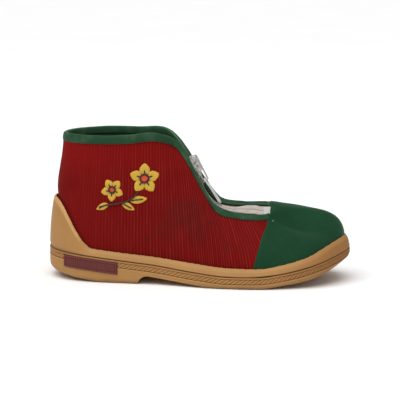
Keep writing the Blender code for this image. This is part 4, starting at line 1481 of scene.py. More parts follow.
    def label(self) -> Piece:
        """Plate with a raised frame round a reeded field, bent round the side of the heel."""
        last = self.last
        lateral = last.paired_columns(self.label_spacing)
        lateral = lateral[: len(lateral) // 2 + 1]
        edge_x = last.offset(lateral, 0.0, last.ledge)[:, 0]
        across = np.linspace(0.0, 1.0, self.label_columns)
        up = np.linspace(0.0, 1.0, self.label_rows)[:, None]
        length = self.label_front_x - self.label_back_x
        stations = self.label_back_x + length * across
        around = np.interp(stations, edge_x[::-1], lateral[::-1])
        x_in = np.minimum(across, 1.0 - across) * length
        z_in = np.minimum(up, 1.0 - up) * self.label_height
        border = np.minimum(x_in, z_in)

        def climb(start: float) -> Array:
            return smoothstep(start, start + self.relief_slope, border)

        frame_bar = climb(self.bar_start) * (1.0 - climb(self.bar_end))
        reed = ridge(stations / self.reed_pitch, self.reed_round)
        raised = np.maximum(frame_bar, climb(self.field_start) * reed * self.reed_height)
        lift = self.label_thick - round_off(border, self.label_round) + self.relief * raised
        lift = np.where(border <= 0.0, self.label_back, lift)

        def skin(out: Any) -> Array:
            lying = last.ledge + last.gap * self.label_gap_share
            points = last.offset(around[None, :] + 0.0 * up, 0.0, lying + out)
            top = sole_height("top", points[..., 0]) - self.label_drop
            points[..., 2] = top - self.label_height * (1.0 - up)
            return points

        pattern = pattern_of(0.0, raised, raised.shape)
        points = last.to_frame(pillow(skin(lift), skin(self.label_back)))
        return lay_grid("heel_label_plate", points, pillow(pattern, pattern * 0.0), self.smooth_angle)


class Crease(NamedTuple):
    """Soft trough, or a ridge where its depth is negative, between two points of the side view."""

    side: Side
    start_x: float
    start_z: float
    end_x: float
    end_z: float
    width: float
    depth: float


CREASES = [
    Crease(Side.LATERAL, 106.0, 47.0, 88.0, 36.0, 3.6, 0.75),
    Crease(Side.LATERAL, 104.0, 40.5, 91.0, 31.0, 3.2, -0.45),
    Crease(Side.LATERAL, 92.0, 66.0, 74.0, 58.0, 4.5, 0.55),
    Crease(Side.LATERAL, 88.0, 73.0, 70.0, 67.0, 4.0, -0.4),
    Crease(Side.LATERAL, 127.0, 37.0, 121.0, 22.0, 3.4, 0.5),
    Crease(Side.LATERAL, 26.0, 63.0, 13.0, 55.0, 4.5, 0.7),
    Crease(Side.LATERAL, 30.0, 74.0, 12.0, 72.0, 7.0, -0.5),
    Crease(Side.MEDIAL, 108.0, 46.0, 90.0, 38.0, 3.8, 0.7),
    Crease(Side.MEDIAL, 95.0, 62.0, 76.0, 60.0, 4.2, 0.5),
    Crease(Side.MEDIAL, 128.0, 36.0, 121.0, 24.0, 3.4, 0.45),
    Crease(Side.MEDIAL, 24.0, 62.0, 12.0, 56.0, 4.5, 0.6),
]

STAINS = (
    Stain(92.0, 45.0, 19.0, 14.0, 0.5),
    Stain(101.0, 33.0, 12.0, 11.0, 0.4),
    Stain(80.0, 34.0, 13.0, 9.0, 0.35),
    Stain(68.7, 28.7, 1.6, 2.0, 1.0),
    Stain(86.0, 27.0, 1.2, 1.5, 0.9),
    Stain(108.0, 40.0, 1.4, 1.8, 0.9),
    Stain(97.0, 52.0, 1.3, 2.2, 0.8),
    Stain(120.0, 24.0, 6.0, 7.0, 0.35),
)


class SeamPoint(NamedTuple):
    """Point of the seam between quarter and toe cap."""

    level: float
    row: float


TOE_SEAM = [
    SeamPoint(0.0, 9.85),
    SeamPoint(0.105, 9.95),
    SeamPoint(0.34, 10.18),
    SeamPoint(0.72, 10.78),
    SeamPoint(0.915, 11.58),
    SeamPoint(1.0, 12.05),
]


class EdgingStation(NamedTuple):
    """Size of the binding at a row: outside width, share that it stands proud, and what the crests gain.

    A crest gains upward at the collar and outward along the throat. The far one is on the foot's inner side.
    """

    row: float
    width: float
    proud: float
    far_crest: float
    near_crest: float = 0.0


EDGING_STATIONS = [
    EdgingStation(0.0, 4.6, 0.55, 0.0),
    EdgingStation(2.0, 4.6, 0.8, 0.9),
    EdgingStation(3.2, 3.9, 0.9, 1.9, 0.4),
    EdgingStation(4.4, 3.4, 1.0, 1.2, 1.2),
    EdgingStation(6.0, 4.7, 1.0, 0.1, 0.1),
    EdgingStation(6.6, 6.4, 0.95, -0.2),
    EdgingStation(7.5, 8.6, 0.6, 0.0),
    EdgingStation(8.3, 9.2, 0.6, 0.0),
    EdgingStation(9.0, 8.2, 0.6, 0.0),
    EdgingStation(9.7, 4.8, 0.6, 0.4),
    EdgingStation(10.4, 3.3, 0.6, 1.0),
    EdgingStation(11.4, 3.2, 0.55, 1.0),
    EdgingStation(12.0, 2.6, 0.15, 0.3),
    EdgingStation(12.3, 2.4, 0.1, 0.0),
]


class EdgingPoint(NamedTuple):
    """Point of the binding's section: how far down from the rim and out it lies; the leg runs down inside."""

    down: float
    out: float
    leg: float


BINDING_SECTION = [
    EdgingPoint(4.55, 0.12, 0.0),
    EdgingPoint(4.5, 0.75, 0.0),
    EdgingPoint(3.7, 1.4, 0.0),
    EdgingPoint(2.2, 1.62, 0.0),
    EdgingPoint(0.6, 1.5, 0.0),
    EdgingPoint(-0.6, 1.0, 0.0),
    EdgingPoint(-1.15, 0.1, 0.0),
    EdgingPoint(-1.2, -0.95, 0.0),
    EdgingPoint(-0.55, -1.95, 0.0),
    EdgingPoint(0.1, -2.35, 0.3),
    EdgingPoint(0.2, -2.5, 0.9),
    EdgingPoint(0.3, -2.3, 1.0),
    EdgingPoint(0.2, -2.0, 0.9),
    EdgingPoint(-0.3, -1.95, 0.0),
    EdgingPoint(-0.3, 0.1, 0.0),
    EdgingPoint(2.0, 0.05, 0.0),
]


@dataclass
class Upper:
    """Corduroy quarters, felt toe cap, lining, binding and footbed."""

    last: Last
    crease_end: float = 0.12
    rib_pitch: float = 2.0
    rib_depth: float = 0.3
    rib_columns: int = 6
    rib_share: float = 0.7
    rib_round: float = 2.2
    rib_least: float = 0.35
    plain_x: float = 19.0
    ribbed_x: float = 65.0
    heel_back_x: float = 8.0
    heel_front_x: float = 34.0
    quarter_levels: int = 36
    quarter_thick: float = 0.9
    quarter_under: float = 2.5
    quarter_top: float = 1.4
    quarter_ripple: Ripple = Ripple(0.12, 23.0, 0.9)
    ripple_slant: float = 0.7
    under_cap_row: float = 12.7
    tuck: float = 0.5
    heel_tuck: float = 1.3
    tuck_run: float = 3.2
    heel_bulge: float = 0.5
    bulge_z: float = 60.0
    bulge_reach: float = 11.0
    rim_swell: float = 0.6
    rim_swell_run: float = 16.0
    cap_spacing: float = 1.0
    cap_tuck: float = 2.0
    cap_columns: int = 190
    cap_levels: int = 70
    cap_thick: float = 0.5
    cap_low_thick: float = 0.25
    cap_swell_start: float = -0.5
    cap_swell_end: float = 2.6
    cap_edge: float = 0.5
    cap_under: float = 0.1
    cap_roll: float = 0.5
    cap_roll_level: float = 0.9
    cap_ripple: Ripple = Ripple(0.1, 60.0, 0.3)
    cap_ripple_along: float = 1.3
    cap_ripple_up: float = 2.0
    cap_ripple_run: float = 3.0
    flap_x: float = 144.2
    flap_rows: int = 8
    lining_spacing: float = 1.6
    lining_levels: int = 30
    lining_top: float = 0.6
    lining_out: float = -1.25
    lining_in: float = -1.95
    lining_ripple: Ripple = Ripple(0.2, 37.0, 1.3)
    lining_swell: float = 0.1
    binding_columns: int = 380
    binding_end_row: float = 12.3
    binding_fill: float = 0.8
    collar_row: float = 5.6
    throat_row: float = 6.4
    long_puff: Ripple = Ripple(0.07, 17.0, 0.2)
    short_puff: Ripple = Ripple(0.04, 6.0, 1.1)
    proud_out: float = 0.2
    crest_low: float = 0.3
    crest_high: float = 3.0
    inner_leg: float = 3.2
    insole_thick: float = 3.0
    insole_clearance: float = 0.5
    insole_spacing: float = 1.5
    insole_rows: int = 31
    insole_round: float = 1.2
    dish: float = 0.7
    dish_run: float = 14.0
    dish_least: float = 0.6
    dish_wave: float = 95.0

    def build(self) -> None:
        """Make and dress the soft pieces."""
        cloth = Corduroy(
            "red_corduroy", "corduroy", srgb(112, 12, 10), stains=STAINS, shift_x=float(self.last.shift[0])
        )
        seat(self.quarters(), cloth, ["upper"])
        seat(self.toe_cap(), FELT, ["upper"])
        seat(self.lining(), LINING, ["upper"])
        binding = seat(self.binding(), BINDING, ["collar_binding"])
        seat(self.footbed(), FOOTBED, ["insole"])

    def crease_depth(self, points: Array) -> Array:
        """How far the creases sink the wall at points on it."""
        depth = np.zeros(points.shape[:-1])
        for crease in CREASES:
            start = np.array([crease.start_x, crease.start_z])
            run = np.array([crease.end_x, crease.end_z]) - start
            from_start = points[..., [0, 2]] - start
            share = np.clip(from_start @ run / (run @ run), 0.0, 1.0)
            away = np.linalg.norm(from_start - share[..., None] * run, axis=-1)
            fade = np.sin(math.pi * (self.crease_end + (1.0 - 2.0 * self.crease_end) * share))
            there = points[..., 1] * int(crease.side) > 0.0
            depth += there * crease.depth * fade * np.exp(-((away / crease.width) ** 2))
        return depth

    def _between(self, row: float) -> tuple[float, float]:
        """Places round the shoe of a row on the outer side and on the inner side."""
        return float(self.last.row(row, Side.LATERAL)), float(self.last.row(row, Side.MEDIAL))

    def quarters(self) -> Piece:
        """Ribbed, creased sheet from under the foxing to under the binding, tucked in behind the rubber."""
        last = self.last
        heel = float(last.row(0.0, Side.LATERAL))
        start, end = self._between(self.under_cap_row)
        spacing = self.rib_pitch / self.rib_columns
        first = math.ceil((start - heel) / spacing)
        final = math.floor((end - heel) / spacing)
        counts = np.arange(first, final + 1)
        around = heel + counts * spacing
        foot = last.level_at_height(around, last.foxing_top(around) - self.quarter_under)
        top = last.level_below_rim(around, self.quarter_top)
        share = np.linspace(0.0, 1.0, self.quarter_levels)[:, None]
        level = foot + (top - foot) * share
        around = np.broadcast_to(around, level.shape)
        wall = last.wall_at(around, level)
        phase = np.broadcast_to(counts / self.rib_columns, level.shape)
        cord = ridge(phase, self.rib_round)
        ribbed = smoothstep(self.plain_x, self.ribbed_x, wall[..., 0])
        ribbed = self.rib_least + (1.0 - self.rib_least) * ribbed
        above = wall[..., 2] - last.foxing_top(around)
        below = last.wall_at(around, 1.0)[..., 2] - wall[..., 2]
        heel_share = 1.0 - smoothstep(self.heel_back_x, self.heel_front_x, wall[..., 0])
        tuck = (self.tuck + self.heel_tuck * heel_share) * np.exp(-np.maximum(above, 0.0) / self.tuck_run)
        bulge = self.heel_bulge * np.exp(-(((wall[..., 2] - self.bulge_z) / self.bulge_reach) ** 2))
        bulge += self.rim_swell * (1.0 - smoothstep(0.0, self.rim_swell_run, below))
        lift = self.rib_depth * ribbed * (cord - self.rib_share) + heel_share * bulge
        uneven = self.quarter_ripple.at(around + self.ripple_slant * wall[..., 2])
        lift += uneven - tuck - self.crease_depth(wall)
        lift[:, [0, -1]] = -self.quarter_thick
        outer = last.offset(around, level, lift)
        inner = last.offset(around, level, -self.quarter_thick)
        pattern = pattern_of(phase, wall[..., 2], level.shape)
        points = last.to_frame(pillow(outer, inner))
        return lay_grid("corduroy_quarters", points, pillow(pattern, pattern))

    def toe_cap(self) -> Piece:
        """Felt cap sewn over the quarters: close at the seam, with a rolled flap over the end of the zip."""
        last = self.last
        level = np.linspace(0.0, 1.0, self.cap_levels)[:, None]
        around_lip = last.paired_columns(self.cap_spacing)
        lip = last.level_at_height(around_lip, last.foxing_top(around_lip) - self.cap_tuck)
        seam_foot = float(np.interp(last.row(TOE_SEAM[0].row, Side.LATERAL), around_lip, lip))
        seam_level = seam_foot + (1.0 - seam_foot) * level
        seam_row = monotone_curve([p.level for p in TOE_SEAM], [p.row for p in TOE_SEAM], seam_level)
        start = last.row(seam_row, Side.LATERAL)
        end = last.row(seam_row, Side.MEDIAL) - last.knots[-1]
        share = np.linspace(0.0, 1.0, self.cap_columns)
        around = start + (end - start) * share
        foot = np.interp(np.mod(around, last.knots[-1]), around_lip, lip)
        level = foot + (1.0 - foot) * level
        wall = last.wall_at(around, level)
        above = wall[..., 2] - last.foxing_top(around)
        swell = smoothstep(self.cap_swell_start, self.cap_swell_end, above)
        swell = self.cap_low_thick + (self.cap_thick - self.cap_low_thick) * swell
        seam_gap = np.minimum(share, 1.0 - share) * np.abs(end - start)
        full = np.clip(swell - self.cap_under, 0.0, None)
        roll = self.cap_roll * smoothstep(self.cap_roll_level, 1.0, level)
        puff = self.cap_ripple.at(around * self.cap_ripple_along + self.cap_ripple_up * wall[..., 2])
        edge = 1.0 - round_off(seam_gap, self.cap_edge) / self.cap_edge
        lift = self.cap_under + (full + (roll + puff) * smoothstep(0.0, self.cap_ripple_run, seam_gap)) * edge
        flap_shares = np.linspace(0.0, 1.0, self.flap_rows + 1)[1:, None]
        skins = []
        for out in (lift, self.cap_under):
            skin = last.offset(around, level, out)
            rim = skin[-1:]
            strip = np.repeat(rim, self.flap_rows, axis=0)
            strip[..., 0] -= np.maximum(rim[..., 0] - self.flap_x, 0.0) * flap_shares
            skins.append(np.concatenate([skin, strip]))
        middle = (skins[0][-1] + skins[1][-1]) / 2.0
        for skin in skins:
            skin[-1] = middle
        return lay_grid("felt_toe_cap", last.to_frame(pillow(*skins)))

    def lining(self) -> Piece:
        """Brushed lining inside the wall, from the footbed to under the binding."""
        last = self.last
        around = last.paired_columns(self.lining_spacing)
        top = last.level_below_rim(around, self.lining_top)
        level = np.linspace(0.0, 1.0, self.lining_levels)[:, None] * top
        around = np.broadcast_to(around, level.shape)
        sag = self.lining_ripple.at(around + last.wall_at(around, level)[..., 2])
        sag[:, -1] = sag[:, 0]
        outer = last.offset(around, level, self.lining_out)
        inner = last.offset(around, level, self.lining_in + np.minimum(sag, self.lining_swell))
        return lay_grid("brushed_lining", last.to_frame(pillow(outer, inner)))

    def binding(self) -> Piece:
        """Rolled edging round the collar and down the throat, its ends tucked under the toe cap."""
        last = self.last
        around = np.linspace(*self._between(self.binding_end_row), self.binding_columns)
        row = last.row_of(around)
        rows = [station.row for station in EDGING_STATIONS]

        def column(name: str) -> Array:
            return monotone_curve(rows, [getattr(station, name) for station in EDGING_STATIONS], row)

        width = column("width")
        proud = column("proud")
        medial = around > float(last.row(0.0, Side.LATERAL))
        crest = np.where(medial, column("far_crest"), column("near_crest"))
        collar = 1.0 - smoothstep(self.collar_row, self.throat_row, row)
        puffed = 1.0 + self.long_puff.at(around) + self.short_puff.at(around)
        seam_down = BINDING_SECTION[0].down
        loop = []
        for point in BINDING_SECTION:
            if point.leg == 0.0 and point.down > 0.0:
                down = point.down * width / seam_down
            else:
                down = point.down + point.leg * self.inner_leg * collar
            out = point.out * (puffed * proud if point.out > self.proud_out else 1.0)
            drawn = crest * (1.0 - float(smoothstep(self.crest_low, self.crest_high, point.down)))
            down = down - drawn * collar
            if point.leg == 0.0:
                out = out + drawn * (1.0 - collar)
            loop.append(last.over_rim(around, down, np.broadcast_to(out, around.shape)))
        loop.append(loop[0])
        points = np.stack(loop)
        ends = points[:-1].mean(axis=0)
        for end in (0, -1):
            points[:, end] = ends[end]
        section = np.linspace(0.0, 1.0, len(loop))[:, None]
        pattern = pattern_of(around[None, :], section, points.shape[:2])
        piece = lay_grid("collar_edging", last.to_frame(points), pattern)
        subdivide(piece)
        return piece

    def footbed(self) -> Piece:
        """Cloth-covered footbed with a soft edge and a shallow hollow under the heel and the ball."""
        last = self.last
        around = last.paired_columns(self.insole_spacing)
        rim = last.offset(around, 0.0, -(last.wall + self.insole_clearance))
        half = len(around) // 2
        lateral = rim[: half + 1]
        medial = rim[: half - 1 : -1]
        across = np.linspace(0.0, 1.0, self.insole_rows)[:, None, None]
        plan = lateral + (medial - lateral) * across
        width = np.linalg.norm(medial - lateral, axis=1)
        inset = np.minimum(across, 1.0 - across)[..., 0] * width
        base = sole_height("top", plan[..., 0]) + last.gap
        along = np.cos(plan[..., 0] / self.dish_wave * math.pi) ** 2
        dish = self.dish * smoothstep(0.0, self.dish_run, inset)
        dish = dish * (self.dish_least + (1.0 - self.dish_least) * along)
        top = plan.copy()
        top[..., 2] = base + self.insole_thick - round_off(inset, self.insole_round) - dish
        top[[0, -1], :, 2] = base[[0, -1]]
        bottom = plan.copy()
        bottom[..., 2] = base
        return lay_grid("cloth_footbed", last.to_frame(pillow(top, bottom)))


class Flower(NamedTuple):
    """Flower of the sprig, in the side view."""

    x: float
    z: float
    petals: int
    inner: float
    reach: float
    plump: float
    turn: float


class Leaf(NamedTuple):
    """Leaf of the sprig, in the side view."""

    x: float
    z: float
    turn: float
    reach: float
    plump: float


class StemPoint(NamedTuple):
    """Point of a cord, in the side view."""

    x: float
    z: float


FLOWERS = [
    Flower(66.0, 66.5, 5, 2.0, 9.6, 3.6, 18.0),
    Flower(45.5, 59.0, 5, 1.5, 7.4, 2.8, 50.0),
]
LEAVES = [
    Leaf(57.0, 52.5, 8.0, 11.0, 2.6),
    Leaf(52.0, 51.0, -28.0, 9.0, 2.3),
    Leaf(43.0, 50.0, 205.0, 8.5, 2.2),
]
STEM = [
    StemPoint(37.0, 48.0),
    StemPoint(42.0, 49.3),
    StemPoint(48.0, 50.2),
    StemPoint(54.0, 51.6),
    StemPoint(59.0, 54.2),
    StemPoint(62.5, 58.2),
]


@dataclass
class Sprig:
    """Embroidered flower sprig on the outer side: satin-stitched petals and leaves with a corded outline."""

    last: Last
    thread: float = 0.55
    least_threads: int = 4
    threads_per_step: int = 4
    thread_slant: float = 0.35
    thread_height: float = 0.1
    thread_round: float = 2.0
    petal_rows: int = 13
    petal_height: float = 0.8
    petal_dome: float = 0.8
    petal_foot: float = -0.35
    tip_shift: float = 0.8
    tip_power: float = 0.7
    end_power: float = 0.3
    side_power: int = 4
    heart_share: float = 1.25
    ring_share: float = 1.35
    ring_points: int = 28
    vein_start: float = 1.2
    vein_share: float = 0.55
    leaf_vein_share: float = 0.8
    cord: float = 0.42
    cord_step: float = 0.35
    cord_steps: int = 8
    cord_rows: int = 11
    cord_taper: float = 0.6
    cord_lift: float = 0.35
    cord_rise: float = 0.55
    twist: float = 0.08
    twist_pitch: float = 0.8
    twist_threads: float = 0.4

    def build(self) -> None:
        """Stitch the flowers, then their centres, then the lines."""
        petals = []
        lines = []
        hearts = []
        for flower in FLOWERS:
            x, z, inner = flower.x, flower.z, flower.inner
            for index in range(flower.petals):
                turn = math.radians(flower.turn) + FULL_TURN * index / flower.petals
                petals.append(self.leaf(x, z, turn, inner, flower.reach, flower.plump))
                lines.append(self.vein(x, z, turn, inner * self.vein_start, flower.reach * self.vein_share))
            hearts.append(self.disc(x, z, inner * self.heart_share))
            lines.append(self.ring(x, z, inner * self.ring_share))
        for leaf in LEAVES:
            turn = math.radians(leaf.turn)
            petals.append(self.leaf(leaf.x, leaf.z, turn, 0.0, leaf.reach, leaf.plump))
            lines.append(self.vein(leaf.x, leaf.z, turn, 0.0, leaf.reach * self.leaf_vein_share))
        lines.append(self.line(STEM))
        seat(join("sprig_petals", petals), PETAL_THREAD)
        seat(join("sprig_hearts", hearts), HEART_THREAD)
        seat(join("sprig_lines", lines), LINE_THREAD)

    def on_wall(self, x: Array, z: Array, lift: Any) -> Array:
        """Points over the outer wall at a place in the side view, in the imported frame."""
        around, level = self.last.locate(x, z)
        return self.last.to_frame(self.last.offset(around, level, lift))

    def leaf(self, x: float, z: float, turn: float, start: float, reach: float, plump: float) -> Piece:
        """Petal or leaf.

        Args:
            x: Middle of the flower or foot of the leaf, from the heel.
            z: The same, from the ground.
            turn: Direction of the leaf in radians.
            start: Distance at which it starts.
            reach: Distance at which it ends.
            plump: Half of its greatest width.
        Returns:
            The stitched pad, closed underneath.
        """
        length = reach - start
        count = max(int(length / self.thread), self.least_threads)
        along = np.linspace(0.0, 1.0, count * self.threads_per_step + 1)
        across = np.linspace(-1.0, 1.0, self.petal_rows)[:, None]
        half = plump * np.sin(math.pi * along**self.tip_shift) ** self.tip_power
        distance = start + length * along + 0.0 * across
        aside = half * across
        px = x + math.cos(turn) * distance - math.sin(turn) * aside
        pz = z + math.sin(turn) * distance + math.cos(turn) * aside
        phase = along * count + self.thread_slant * across
        thread = ridge(phase, self.thread_round)
        dome = np.sqrt(np.clip(1.0 - across**self.side_power, 0.0, 1.0))
        dome = dome * np.sin(math.pi * along) ** self.end_power
        height = self.petal_height * self.petal_dome + self.thread_height * thread - self.petal_foot
        top = self.on_wall(px, pz, self.petal_foot + height * dome)
        under = self.on_wall(px, pz, self.petal_foot)
        pattern = pattern_of(phase, across, px.shape)
        return lay_grid("pad", pillow(top, under), pillow(pattern, pattern))

    def disc(self, x: float, z: float, radius: float) -> Piece:
        """Round stitched pad."""
        return self.leaf(x - radius, z, 0.0, 0.0, 2.0 * radius, radius)

    def line(self, points: Sequence[StemPoint], closed: bool = False) -> Piece:
        """Cord couched along a path in the side view."""
        path = np.array(points, dtype=float)
        if closed:
            path = np.vstack([path, path[:1]])
        run = run_along(path)
        at = np.linspace(0.0, run[-1], max(int(run[-1] / self.cord_step), self.cord_steps))
        x = np.interp(at, run, path[:, 0])
        z = np.interp(at, run, path[:, 1])
        tangent = unit(np.stack([np.gradient(x), np.gradient(z)], axis=-1))
        taper = np.ones_like(at)
        if not closed:
            taper = np.clip(np.minimum(at, run[-1] - at) / self.cord_taper, 0.0, 1.0) ** 0.5
        twist = 1.0 + self.twist * np.sin(at * FULL_TURN / self.twist_pitch)
        turn = np.linspace(0.0, FULL_TURN, self.cord_rows)[:, None]
        radius = self.cord * taper * twist
        px = x - tangent[:, 1] * radius * np.cos(turn)
        pz = z + tangent[:, 0] * radius * np.cos(turn)
        lift = self.cord_rise * self.petal_height + self.cord_lift + radius * np.sin(turn)
        pattern = pattern_of(at / self.twist_threads + turn / math.pi, turn, px.shape)
        return lay_grid("cord", self.on_wall(px, pz, lift), pattern)

    def ring(self, x: float, z: float, radius: float) -> Piece:
        """Cord in a ring."""
        turns = np.linspace(0.0, FULL_TURN, self.ring_points, endpoint=False)
        points = [StemPoint(x + radius * math.cos(turn), z + radius * math.sin(turn)) for turn in turns]
        return self.line(points, closed=True)

    def vein(self, x: float, z: float, turn: float, start: float, end: float) -> Piece:
        """Straight cord along a petal or leaf."""
        points = [StemPoint(x + math.cos(turn) * at, z + math.sin(turn) * at) for at in (start, end)]
        return self.line(points)


@dataclass
class ZipFront:
    """Zip down the throat: tapes, closed coil, end piece, slider and pull."""

    last: Last
    trial_rows: int = 240
    least_rows: int = 4
    top_row: float = 6.8
    slider_row: float = 7.55
    chain_start: float = 7.63
    chain_end: float = 11.55
    stop_row: float = 11.78
    end_row: float = 12.35
    lift_start: float = 9.6
    lift_end: float = 10.3
    fall_start: float = 10.7
    fall_end: float = 11.15
    chain_lift: float = 1.3
    chain_sink: float = 0.9
    sink_start: float = 8.05
    sink_end: float = 8.5
    chain_half: float = 2.3
    chain_spread: float = 1.4
    spread_start: float = 9.5
    spread_end: float = 10.4
    chain_height: float = 2.0
    chain_depth: float = 1.0
    coil_pitch: float = 1.1
    coil_steps: float = 7.0
    coil_rows: int = 27
    coil_gap: float = 0.05
    coil_round: float = 2.5
    coil_end: float = 0.8
    coil_wide_power: float = 0.8
    coil_tall_power: float = 0.75
    coil_relief: float = 0.16
    closed_relief: float = 0.05
    seam_at: float = -0.05
    seam_half: float = 0.12
    seam_relief: float = 0.6
    tape_spacing: float = 0.7
    tape_depth: float = 2.5
    tape_thick: float = 0.6
    tape_under: float = 4.0
    tape_width: float = 9.0
    tape_shares: Triple = (0.0, 0.34, 0.67)
    tape_split: float = 0.15
    tape_post_split: float = 1.3
    part_before: float = 0.1
    part_past: float = 0.25
    lip_clearance: float = 0.4
    stop_size: Triple = (5.2, 7.4, 1.9)
    stop_rim: float = 0.7
    stop_rim_rise: float = 0.25
    stop_dish_rim: float = 0.45
    stop_dish: float = -0.2
    stop_round: float = 0.3
    stop_seat: float = 0.35
    stop_tilt: float = 9.0
    stop_drift: float = -0.8
    slider_length: float = 14.4
    slider_width: float = 7.4
    slider_plate: float = 1.1
    slider_slack: float = 0.45
    slider_round: float = 0.32
    floor_share: float = 0.9
    shield_taper: float = 0.66
    shield_lip: float = -0.001
    shield_rim: float = 0.9
    shield_rise: float = 0.22
    post_size: tuple[float, float] = (3.4, 1.8)
    post_inset: float = 2.3
    post_round: float = 0.2
    flange_share: float = 0.55
    flange_width: float = 0.8
    flange_height: float = 1.9
    flange_x: float = -0.9
    flange_drop: float = 0.4
    flange_round: float = 0.25
    nose_size: tuple[float, float] = (2.4, 0.8)
    nose_past: float = 0.15
    nose_lap: float = 1.0
    bail_length: float = 18.6
    bail_shift: float = 2.5
    bail_height: float = 3.3
    bail_thick: float = 0.9
    bail_width: float = 1.6
    bail_corner: float = 1.0
    bail_steps: int = 7
    bail_rows: int = 17
    bail_root: float = -0.4
    bail_foot: float = 0.3
    bail_thick_power: float = 0.6
    bail_wide_power: float = 0.5
    bail_smooth: float = 45.0
    bonnet_width: float = 2.2
    bonnet_share: float = 0.6
    bonnet_round: float = 0.35
    bonnet_top: Triple = (0.9, 0.8, 1.0)
    pull_bar: float = 1.0
    pull_thick: float = 1.0
    pull_eye: float = 3.4
    pull_length: float = 18.6
    pull_neck_width: float = 2.6
    pull_neck_start: float = 2.2
    pull_neck_end: float = 7.5
    pull_neck_gain: float = 1.24
    pull_eye_width: float = 4.6
    pull_end_width: float = 4.8
    pull_end_run: float = 1.6
    pull_tip_share: float = 0.5
    pad_back: float = 4.5
    pad_half: float = 1.5
    pad_rim: float = 0.6
    pad_dish: float = -0.2
    eye_play: float = 0.9
    eye_round: float = 0.5
    eye_cut: float = 3.0
    pull_round: float = 0.22
    pull_play: float = 0.45
    pull_clearance: float = 0.55
    pull_tilt: float = -6.0

    def build(self) -> None:
        """Make and dress the zip from the tapes outward."""
        for side in Side:
            name = side.name.lower()
            seat(self.tape(side), ZIP_CLOTH, [f"zip_tape_{name}"])
            seat(self.coil(side), ZIP_COIL, ["zip_chain"])
        seat(self.end_piece(), STOP_NYLON, ["zip_end_stop"])
        seat(self.slider(), SLIDER_METAL, ["zip_slider"])
        seat(self.pull(), PULL_ENAMEL, ["zip_pull_tab"], Body.PULL)

    def lift(self, rows: Any) -> Array:
        """How far the closed zip stands out of the throat: sunk along the instep, humped below it."""
        rise = smoothstep(self.lift_start, self.lift_end, rows)
        sunk = smoothstep(self.sink_start, self.sink_end, rows) * (1.0 - rise)
        fall = smoothstep(self.fall_start, self.fall_end, rows)
        return self.chain_lift * rise * (1.0 - fall) - self.chain_sink * sunk

    def rows_between(self, start: float, end: float, spacing: float) -> tuple[Array, Array]:
        """Rows about a spacing apart along the throat, with the length run at each."""
        trial = np.linspace(start, end, self.trial_rows)
        run = run_along(self.last.throat(trial).center)
        at = np.linspace(0.0, run[-1], max(int(run[-1] / spacing), self.least_rows))
        return np.interp(at, run, trial), at

    def tape(self, side: Side) -> Piece:
        """Woven tape: under the wall at its outer edge, flat over the throat, parted at the slider's post."""
        last = self.last
        rows, run = self.rows_between(self.top_row, self.end_row, self.tape_spacing)
        throat = last.throat(rows)
        around = last.row(rows, side)
        deep = last.level_below_rim(around, self.tape_under)
        parted = 1.0 - smoothstep(self.slider_row - self.part_before, self.slider_row + self.part_past, rows)
        split = self.tape_split + (self.tape_post_split - self.tape_split) * parted
        past_lip = last.rise(around, 1.0) * self.lip_clearance

        def skin(depth: float) -> Array:
            rim = last.offset(around, 1.0, -depth)
            knots = [
                last.offset(around, deep, -depth), rim, rim + past_lip,
                throat.point(split * int(side), self.lift(rows) - depth),
            ]
            strips = [a + (b - a) * share for a, b in zip(knots, knots[1:]) for share in self.tape_shares]
            return np.stack(strips + knots[-1:])

        top = skin(self.tape_depth)
        bottom = skin(self.tape_depth + self.tape_thick)
        for index in (0, -1):
            bottom[:, index] = top[:, index]
        across = np.linspace(0.0, self.tape_width, len(top))[:, None]
        pattern = pattern_of(run, across, top.shape[:2])
        points = last.to_frame(pillow(top, bottom))
        return lay_grid(f"zip_tape_{side.name.lower()}_cloth", points, pillow(pattern, pattern))

    def coil(self, side: Side) -> Piece:
        """One half of the closed coil: a turn every pitch, spread and worn smooth past the instep."""
        last = self.last
        rows, run = self.rows_between(self.chain_start, self.chain_end, self.coil_pitch / self.coil_steps)
        throat = last.throat(rows)
        center = self.lift(rows) - self.chain_depth
        tall = self.chain_height / 2.0 - last.gap / 2.0
        turn = np.linspace(0.0, FULL_TURN, self.coil_rows)[:, None]
        spread = smoothstep(self.spread_start, self.spread_end, rows)
        half = (self.chain_half + self.chain_spread * spread - self.coil_gap) / 2.0
        relief = self.coil_relief + (self.closed_relief - self.coil_relief) * spread
        phase = run / self.coil_pitch + (0.5 if side == Side.MEDIAL else 0.0)
        loop = ridge(phase, self.coil_round)
        ends = np.clip(np.minimum(run, run[-1] - run) / self.coil_end, 0.0, 1.0) ** 0.5
        wide = squared_off(np.cos(turn), self.coil_wide_power)
        high = squared_off(np.sin(turn), self.coil_tall_power)
        sideways = int(side) * (self.coil_gap + half * (1.0 + wide * ends))
        seam = np.abs(wide - self.seam_at) < self.seam_half
        out = center + (tall - relief * (1.0 - loop) - self.seam_relief * relief * seam) * high * ends
        points = throat.point(sideways, out)
        pattern = pattern_of(run[None, :], wide * half, points.shape[:2])
        return lay_grid(f"zip_coil_{side.name.lower()}", last.to_frame(points), pattern)

    def matrix(self, row: float, depth: float) -> Matrix:
        """Placement on the throat, from millimetres: X toward the toe, Y to the inner side, Z outward."""
        throat = self.last.throat(row)
        center = self.last.to_frame(throat.center - throat.outward * depth)[0]
        columns = [throat.along[0] * MM, throat.across[0] * MM, throat.outward[0] * MM, center]
        return Matrix([[*(float(column[axis]) for column in columns)] for axis in range(3)] + [[0, 0, 0, 1]])

